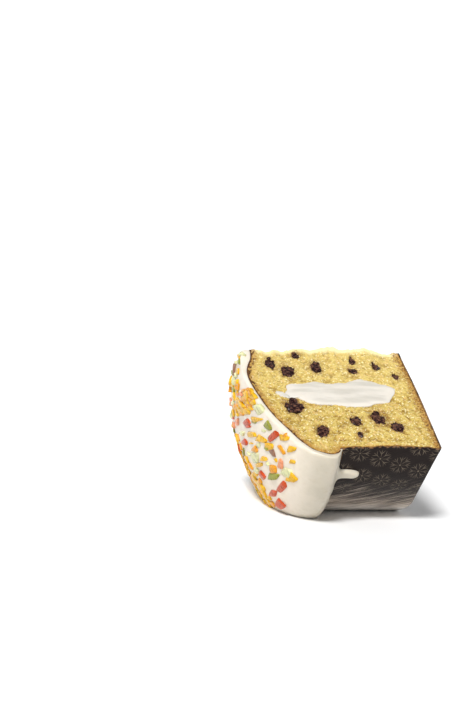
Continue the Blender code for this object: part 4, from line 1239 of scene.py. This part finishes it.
class PANETTONE_OT_fruit(bpy.types.Operator):
    """Sinks chopped candied fruit into the icing, one piece for each colour."""

    bl_idname = "panettone.fruit"
    bl_label = "Fruit"

    def execute(self, context):
        settings = context.scene.panettone_fruit
        angle, outer, _ = icing_skin(context.scene.panettone_icing)
        skin = lay_down(outer[..., 0], angle, outer[..., 1])
        down, across = np.gradient(skin, axis=0), np.gradient(skin, axis=1)
        normal = np.cross(down, across)
        normal /= np.maximum(np.linalg.norm(normal, axis=-1, keepdims=True), 1e-12)
        inside = np.array((10, 10, 45)) * MM
        normal *= np.sign((normal * (skin - inside)).sum(axis=-1, keepdims=True))
        rows = slice(3, -2)
        places, normals = skin[rows].reshape(-1, 3), normal[rows].reshape(-1, 3)
        draw = np.random.default_rng(FRUIT_SEED)

        towards = CAMERA_PLACE - places
        slant = (towards * normals).sum(axis=1) / np.linalg.norm(towards, axis=1)
        facing = slant > 0
        pixels = np.where(facing[:, None], in_picture(places), 1e6)
        sheets = {name: Sheets() for name in FRUIT_SHARES}
        taken = []
        for x, y, long, wide, turn, name in FRUIT_SEEN:
            nearest = np.argmin(np.hypot(pixels[:, 0] - x, pixels[:, 1] - y))
            ways = drawn_out(places[nearest], normals[nearest], math.radians(turn), long * MM, wide * MM)
            bit = self.bit(places[nearest], normals[nearest], ways, slant[nearest], settings, draw)
            sheets[name].add_sides(*bit)
            taken.append(places[nearest])

        names, shares = list(FRUIT_SHARES), np.array(list(FRUIT_SHARES.values()), float)
        rho = np.broadcast_to(outer[..., 0], skin.shape[:2])[rows].ravel()
        height = np.broadcast_to(outer[..., 1], skin.shape[:2])[rows].ravel()
        unseen = (slant < 0.1) & (height > FRUIT_LOWEST) & (places[:, 2] > 5 * MM) & (rho > 2 * MM)
        order = draw.permutation(np.flatnonzero(unseen))
        for index in order[:FRUIT_TRIES]:
            room = settings.spacing * (1.9 if height[index] < FRUIT_SPARSE else 1)
            if np.min(np.linalg.norm(np.array(taken) - places[index], axis=1)) < room:
                continue
            name = names[draw.choice(len(names), p=shares / shares.sum())]
            long = draw.uniform(*FRUIT_LENGTHS_MM) * MM
            way = tangent(normals[index], draw.normal(size=3))
            ways = np.array((way * long, np.cross(normals[index], way) * long * draw.uniform(0.5, 0.9)))
            bit = self.bit(places[index], normals[index], ways, slant[index], settings, draw)
            sheets[name].add_sides(*bit)
            taken.append(places[index])
        for name, gathered in sheets.items():
            gathered.piece("fruit_" + name, self.finish_of(name, getattr(settings, name)), "icing", "icing")
        return {"FINISHED"}

    def bit(self, place, normal, ways, slant, settings, draw):
        """One bit of fruit: it lies along two ways in the icing's surface, and a third of it is sunk. Those
        on the skyline stand taller and lean less."""
        flat = smoothstep(0.5, 0.3, abs(slant + 0.1))
        tall = settings.height * draw.uniform(0.8, 1.15) * min(1, 0.55 + np.linalg.norm(ways[1]) / (8 * MM))
        tall *= 1 + 0.25 * flat
        shape = lean_corners(bit_shape(), draw) / 2
        shape[..., 1] *= 1.15 - draw.uniform(0, 0.85) * (shape[..., 0] + 0.5)
        tilt = (shape[..., :2] * draw.uniform(-0.3, 0.3, 2)).sum(axis=-1)
        lifted = shape[..., 2] - 0.16 + 0.04 * flat + tilt * (1 - 0.7 * flat)
        points = place + shape[..., :2] @ ways + lifted[..., None] * tall * normal
        points[..., 2] = np.maximum(points[..., 2], FLAT_LIFT)
        return points, smoothstep(0.5, 0.92, np.linalg.norm(shape, axis=-1))

    def finish_of(self, name, tint):
        """Candied fruit: glassy and glowing, in paler and darker patches, and paler towards its edges."""
        finish = Finish("fruit_" + name, Subsurface_Weight=0.25, Subsurface_Scale=0.0012, Coat_Weight=0.05)
        finish.set(Subsurface_Radius=(1, 0.6, 0.2), Coat_Roughness=0.12, Specular_IOR_Level=0.22)
        patches = finish.noise(2.6 * MM, detail=3)
        darker = tuple(part * 0.8 for part in tint)
        lighter = tuple(part * 1.3 + 0.03 for part in tint)
        body = finish.mix(finish.spread(patches, 0.3, 0.55), rgba(darker), rgba(tint))
        paler = finish.spread(patches, 0.5, 0.75, 0, 0.7)
        share = finish.math("MULTIPLY_ADD", finish.value("edge"), 0.3, paler)
        body = finish.mix(share, body, rgba(lighter))
        finish.set(Base_Color=body, Roughness=finish.spread(patches, 0.3, 0.7, 0.22, 0.42))
        finish.bump(finish.noise(1.4 * MM, detail=1), 0.2 * MM, 0.4)
        return finish.material


class PANETTONE_OT_case(bpy.types.Operator):
    """Builds the paper case: base and wall, with the thickness of the paper and fine creases up the
    wall."""

    bl_idname = "panettone.case"
    bl_label = "Paper case"

    def execute(self, context):
        settings = context.scene.panettone_case
        angle = np.append(np.arange(0, math.degrees(WEDGE), 0.5), math.degrees(WEDGE))
        angle = -np.radians(np.unique(angle))[None]
        rho, height = self.profile(settings, 0)
        run = np.concatenate([[0], np.cumsum(np.hypot(np.diff(rho), np.diff(height)))])
        up = (run - run[CASE_BASE_ROWS + CASE_BEND_ROWS // 2])[:, None]
        on_wall = smoothstep(0.4 * CASE_BEND, 2.4 * CASE_BEND, up - up[CASE_BASE_ROWS] + CASE_BEND)

        place = np.stack(np.broadcast_arrays(angle * RADIUS, height[:, None] * 0.2, 0), axis=-1)
        ripple = lumps(place, 3.5 * MM, 91) * 0.1 * MM * smoothstep(0, 6 * MM, height)[:, None]
        turned = abs(SHOWN_ANGLE + angle)
        at_rest = smoothstep(REST_HALF + math.radians(6), REST_HALF + math.radians(1), turned)
        drop = RIM_DROP * at_rest * smoothstep(40 * MM, settings.height, height)[:, None]
        inner_rho, inner_height = self.profile(settings, settings.paper)
        rho = np.stack([rho[:, None] + ripple, inner_rho[:, None] + 0 * ripple])
        height = np.stack([height[:, None] - drop, inner_height[:, None] - drop])

        sheets = Sheets()
        around = -angle * RADIUS
        for side, outside in ((0, on_wall), (1, 0)):
            grid = lay_down(rho[side], angle, height[side], FLAT_LIFT)
            sheets.add(grid, around=around, up=up, outside=outside, edge=0)
        strips = [(rho[:, :, column].T, angle[0, column], height[:, :, column].T) for column in (0, -1)]
        strips.append((rho[:, -1], angle, height[:, -1]))
        for strip in strips:
            sheets.add(lay_down(*strip, FLAT_LIFT), around=0, up=0, outside=0, edge=1)
        sheets.piece("paper_case", self.finish_of(settings), "case", "case")
        return {"FINISHED"}

    def profile(self, settings, inset):
        """The paper's profile, this far inside its outer face: out along the base, round a quarter circle
        and up the wall, as distances from the axis and heights."""
        bend = np.linspace(-math.pi / 2, 0, CASE_BEND_ROWS)
        rim, radius = RADIUS - CASE_BEND, CASE_BEND - inset
        base = np.linspace(0, rim, CASE_BASE_ROWS + 1)[:-1]
        wall = np.linspace(CASE_BEND, settings.height, CASE_WALL_ROWS + 1)[1:]
        rho = np.concatenate([base, rim + radius * np.cos(bend), np.full(CASE_WALL_ROWS, RADIUS - inset)])
        height = np.concatenate([np.full(CASE_BASE_ROWS, inset), CASE_BEND + radius * np.sin(bend), wall])
        return rho, height

    def finish_of(self, settings):
        """Satin dark brown paper. Rosettes are printed on the wall at the points of a leaning lattice.

        With a and b the lattice's two steps, a place p is i * a + j * b. What is left of i and j beyond
        their whole numbers gives the way to the nearest rosette. Its length and angle draw eight arms with
        two strokes that fork off each, and a dot. Towards the floor a painted sheen, the floor's reflection,
        lightens the paper in fine streaks that lean across the wall, the print fades under it, and the last
        millimetres are paler still with a painted reflection of the floor."""
        finish = Finish("case_paper", Specular_IOR_Level=0.15)
        (ax, ay), (bx, by) = LATTICE_MM
        span = (ax * by - ay * bx) * MM
        x = finish.less(finish.value("around"), ROSETTE_MM[0] * MM)
        y = finish.less(finish.value("up"), ROSETTE_MM[1] * MM)
        i = finish.less(finish.times(x, by / span), finish.times(y, bx / span))
        j = finish.less(finish.times(y, ax / span), finish.times(x, ay / span))
        i, j = (finish.less(part, finish.math("ROUND", part)) for part in (i, j))
        x = finish.plus(finish.times(i, ax * MM), finish.times(j, bx * MM))
        y = finish.plus(finish.times(i, ay * MM), finish.times(j, by * MM))
        radius = finish.math("SQRT", finish.plus(finish.times(x, x), finish.times(y, y)))
        angle = finish.math("ARCTAN2", y, x)
        inked = finish.spread(radius, 0.55 * MM, 0.4 * MM)
        eighth = math.tau / 8
        folded = finish.math("WRAP", angle, eighth / 2, -eighth / 2)
        rim, fork = settings.rosette, ROSETTE_FORK * settings.rosette
        fan = finish.math("DIVIDE", finish.less(finish.most(radius, fork), fork), rim - fork)
        for offset, low, high, half in ROSETTE_STROKES:
            turned = finish.less(folded, finish.times(fan, eighth * offset))
            across = finish.math("ABSOLUTE", finish.times(radius, finish.math("SINE", turned)))
            middle, reach = (low + high) / 2 * settings.rosette, (high - low) / 2 * settings.rosette
            out = finish.math("DIVIDE", finish.less(radius, middle), reach)
            width = finish.less(1, finish.times(out, out))
            width = finish.times(width, half * settings.rosette)
            petal = finish.spread(finish.less(across, width), 0.1 * MM, -0.1 * MM)
            inked = finish.most(inked, petal)
        # The print wears in random patches, and fades towards the floor under the painted sheen
        print_wear_and_sheen_fade = finish.noise(1.5 * MM, detail=3)
        parts = finish.nodes.new("ShaderNodeSeparateXYZ")
        finish.give(parts.inputs[0], finish.place)
        up = parts.outputs["Z"]
        print_wear_and_sheen_fade = finish.times(finish.spread(up, 8 * MM, 30 * MM), finish.spread(print_wear_and_sheen_fade, 0.3, 0.6, 0.4, 1))
        inked = finish.times(finish.times(inked, print_wear_and_sheen_fade), finish.value("outside"))
        ways = finish.nodes.new("ShaderNodeCombineXYZ")
        sine, cosine = math.sin(STREAK_LEAN), math.cos(STREAK_LEAN)
        shares = ((sine, cosine), (cosine, -sine))
        for socket, (round_share, up_share) in zip(ways.inputs, shares):
            part = finish.times(finish.value("up"), up_share)
            finish.give(socket, finish.math("MULTIPLY_ADD", finish.value("around"), round_share, part))
        creases = finish.noise(0.8 * MM, detail=4, stretch=(26, 1, 1), place=ways.outputs[0], roughness=0.65)
        broad = finish.noise(3 * MM, detail=2, stretch=(9, 1, 1), place=ways.outputs[0])
        # Painted sheen: the floor's reflection, growing towards the floor in streaks along the creases
        sheen_towards_floor = finish.math("MULTIPLY_ADD", up, -1.1 / (48 * MM), -0.2)
        streaks = finish.plus(finish.times(creases, 1.7), finish.times(broad, 0.7))
        painted_sheen = finish.spread(finish.plus(streaks, sheen_towards_floor), 0.47, 1.18)
        painted_sheen = finish.times(painted_sheen, finish.value("outside"))
        paper = finish.mix(painted_sheen, rgba(settings.brown), rgba(settings.painted_sheen))
        # Painted reflection: the paper's lowest millimetres turn pale, as if the floor lit them
        painted_floor_reflection = finish.times(finish.spread(up, 10 * MM, 2 * MM), finish.value("outside"))
        paper = finish.mix(finish.times(painted_floor_reflection, finish.spread(broad, 0.3, 0.5)), paper, rgba(settings.painted_floor_reflection))
        paper = finish.mix(finish.value("edge"), paper, rgba(settings.edge))
        finish.set(
            Base_Color=finish.mix(inked, paper, rgba(settings.print)),
            Roughness=finish.spread(creases, 0.3, 0.7, 0.42, 0.6),
        )
        finish.bump(creases, 0.3 * MM, 0.5)
        return finish.material


class PANETTONE_OT_stage(bpy.types.Operator):
    """Sets the pale floor, the soft studio light and the camera."""

    bl_idname = "panettone.stage"
    bl_label = "Stage"

    def execute(self, context):
        settings = context.scene.panettone_stage
        scene = context.scene
        self.floor(settings)
        world = bpy.data.worlds.new("studio")
        world.use_nodes = True
        world.node_tree.nodes["Background"].inputs["Color"].default_value = (1, 1, 1, 1)
        world.node_tree.nodes["Background"].inputs["Strength"].default_value = settings.sky
        scene.world = world
        for name, way, strength, breadth in (
            ("key", (0.3, 0.67, -0.68), settings.key, 13),
            ("fill", (0.1, 0.99, -0.1), settings.fill, 50),
        ):
            light = bpy.data.lights.new(name, "SUN")
            light.energy, light.angle = strength, math.radians(breadth)
            lamp = bpy.data.objects.new(name, light)
            lamp.rotation_euler = Vector(way).to_track_quat("-Z", "Y").to_euler()
            scene.collection.objects.link(lamp)
        camera = bpy.data.objects.new("camera", bpy.data.cameras.new("camera"))
        camera.data.lens = settings.focal
        columns = np.stack([CAMERA_RIGHT, -CAMERA_DOWN, -CAMERA_FORWARD], axis=1)
        camera.matrix_world = Matrix.Translation(Vector(CAMERA_PLACE)) @ Matrix(columns.tolist()).to_4x4()
        scene.collection.objects.link(camera)
        scene.camera = camera
        scene.view_settings.view_transform = "Standard"
        return {"FINISHED"}

    def floor(self, settings):
        """A floor that curves up all round, a hair below the slice. Its profile, level out to the bend, then
        a quarter circle and a low wall, is carried round the middle."""
        level, radius, wall_top = 1.8, 0.9, 1.5
        bend = np.linspace(0, math.pi / 2, 17)
        out = [np.linspace(0, level, 19)[:-1], level + radius * np.sin(bend), [level + radius]]
        up = [np.zeros(18), radius - radius * np.cos(bend), [wall_top]]
        out, up = np.concatenate(out), np.concatenate(up) - 0.05 * MM
        turn = np.linspace(0, math.tau, 97)[:, None]
        grid = np.stack(np.broadcast_arrays(out * np.cos(turn), out * np.sin(turn), up), axis=-1)
        mesh = bpy.data.meshes.new("floor")
        mesh.from_pydata(grid.reshape(-1, 3), [], grid_faces(*grid.shape[:2]).tolist())
        mesh.shade_smooth()
        finish = Finish("floor", Roughness=0.75)
        shade = finish.spread(finish.noise(0.4, detail=1), 0.3, 0.7, 0, 0.03)
        finish.set(Base_Color=finish.mix(shade, rgba(settings.floor), (0.8, 0.8, 0.8, 1)))
        mesh.materials.append(finish.material)
        floor = bpy.data.objects.new("floor", mesh)
        bpy.context.scene.collection.objects.link(floor)


STEPS = (
    ("crumb", CrumbSettings, PANETTONE_OT_crumb),
    ("cream", CreamSettings, PANETTONE_OT_cream),
    ("chips", ChipSettings, PANETTONE_OT_chips),
    ("icing", IcingSettings, PANETTONE_OT_icing),
    ("fruit", FruitSettings, PANETTONE_OT_fruit),
    ("case", CaseSettings, PANETTONE_OT_case),
    ("stage", StageSettings, PANETTONE_OT_stage),
)


class PANETTONE_PT_panel(bpy.types.Panel):
    """Lists each piece of the slice with its sizes and colours."""

    bl_idname = "PANETTONE_PT_panel"
    bl_label = "Panettone slice"
    bl_space_type = "VIEW_3D"
    bl_region_type = "UI"
    bl_category = "Panettone"

    def draw(self, context):
        for name, settings, operator in STEPS:
            box = self.layout.box()
            box.operator(operator.bl_idname)
            for key in settings.__annotations__:
                box.prop(getattr(context.scene, "panettone_" + name), key)


def register():
    for name, settings, operator in STEPS:
        bpy.utils.register_class(settings)
        bpy.utils.register_class(operator)
        setattr(bpy.types.Scene, "panettone_" + name, PointerProperty(type=settings))
    bpy.utils.register_class(PANETTONE_PT_panel)


def unregister():
    bpy.utils.unregister_class(PANETTONE_PT_panel)
    for name, settings, operator in reversed(STEPS):
        delattr(bpy.types.Scene, "panettone_" + name)
        bpy.utils.unregister_class(operator)
        bpy.utils.unregister_class(settings)


def main():
    register()
    for name, _, _ in STEPS:
        getattr(bpy.ops.panettone, name)()


if __name__ == "__main__":
    main()
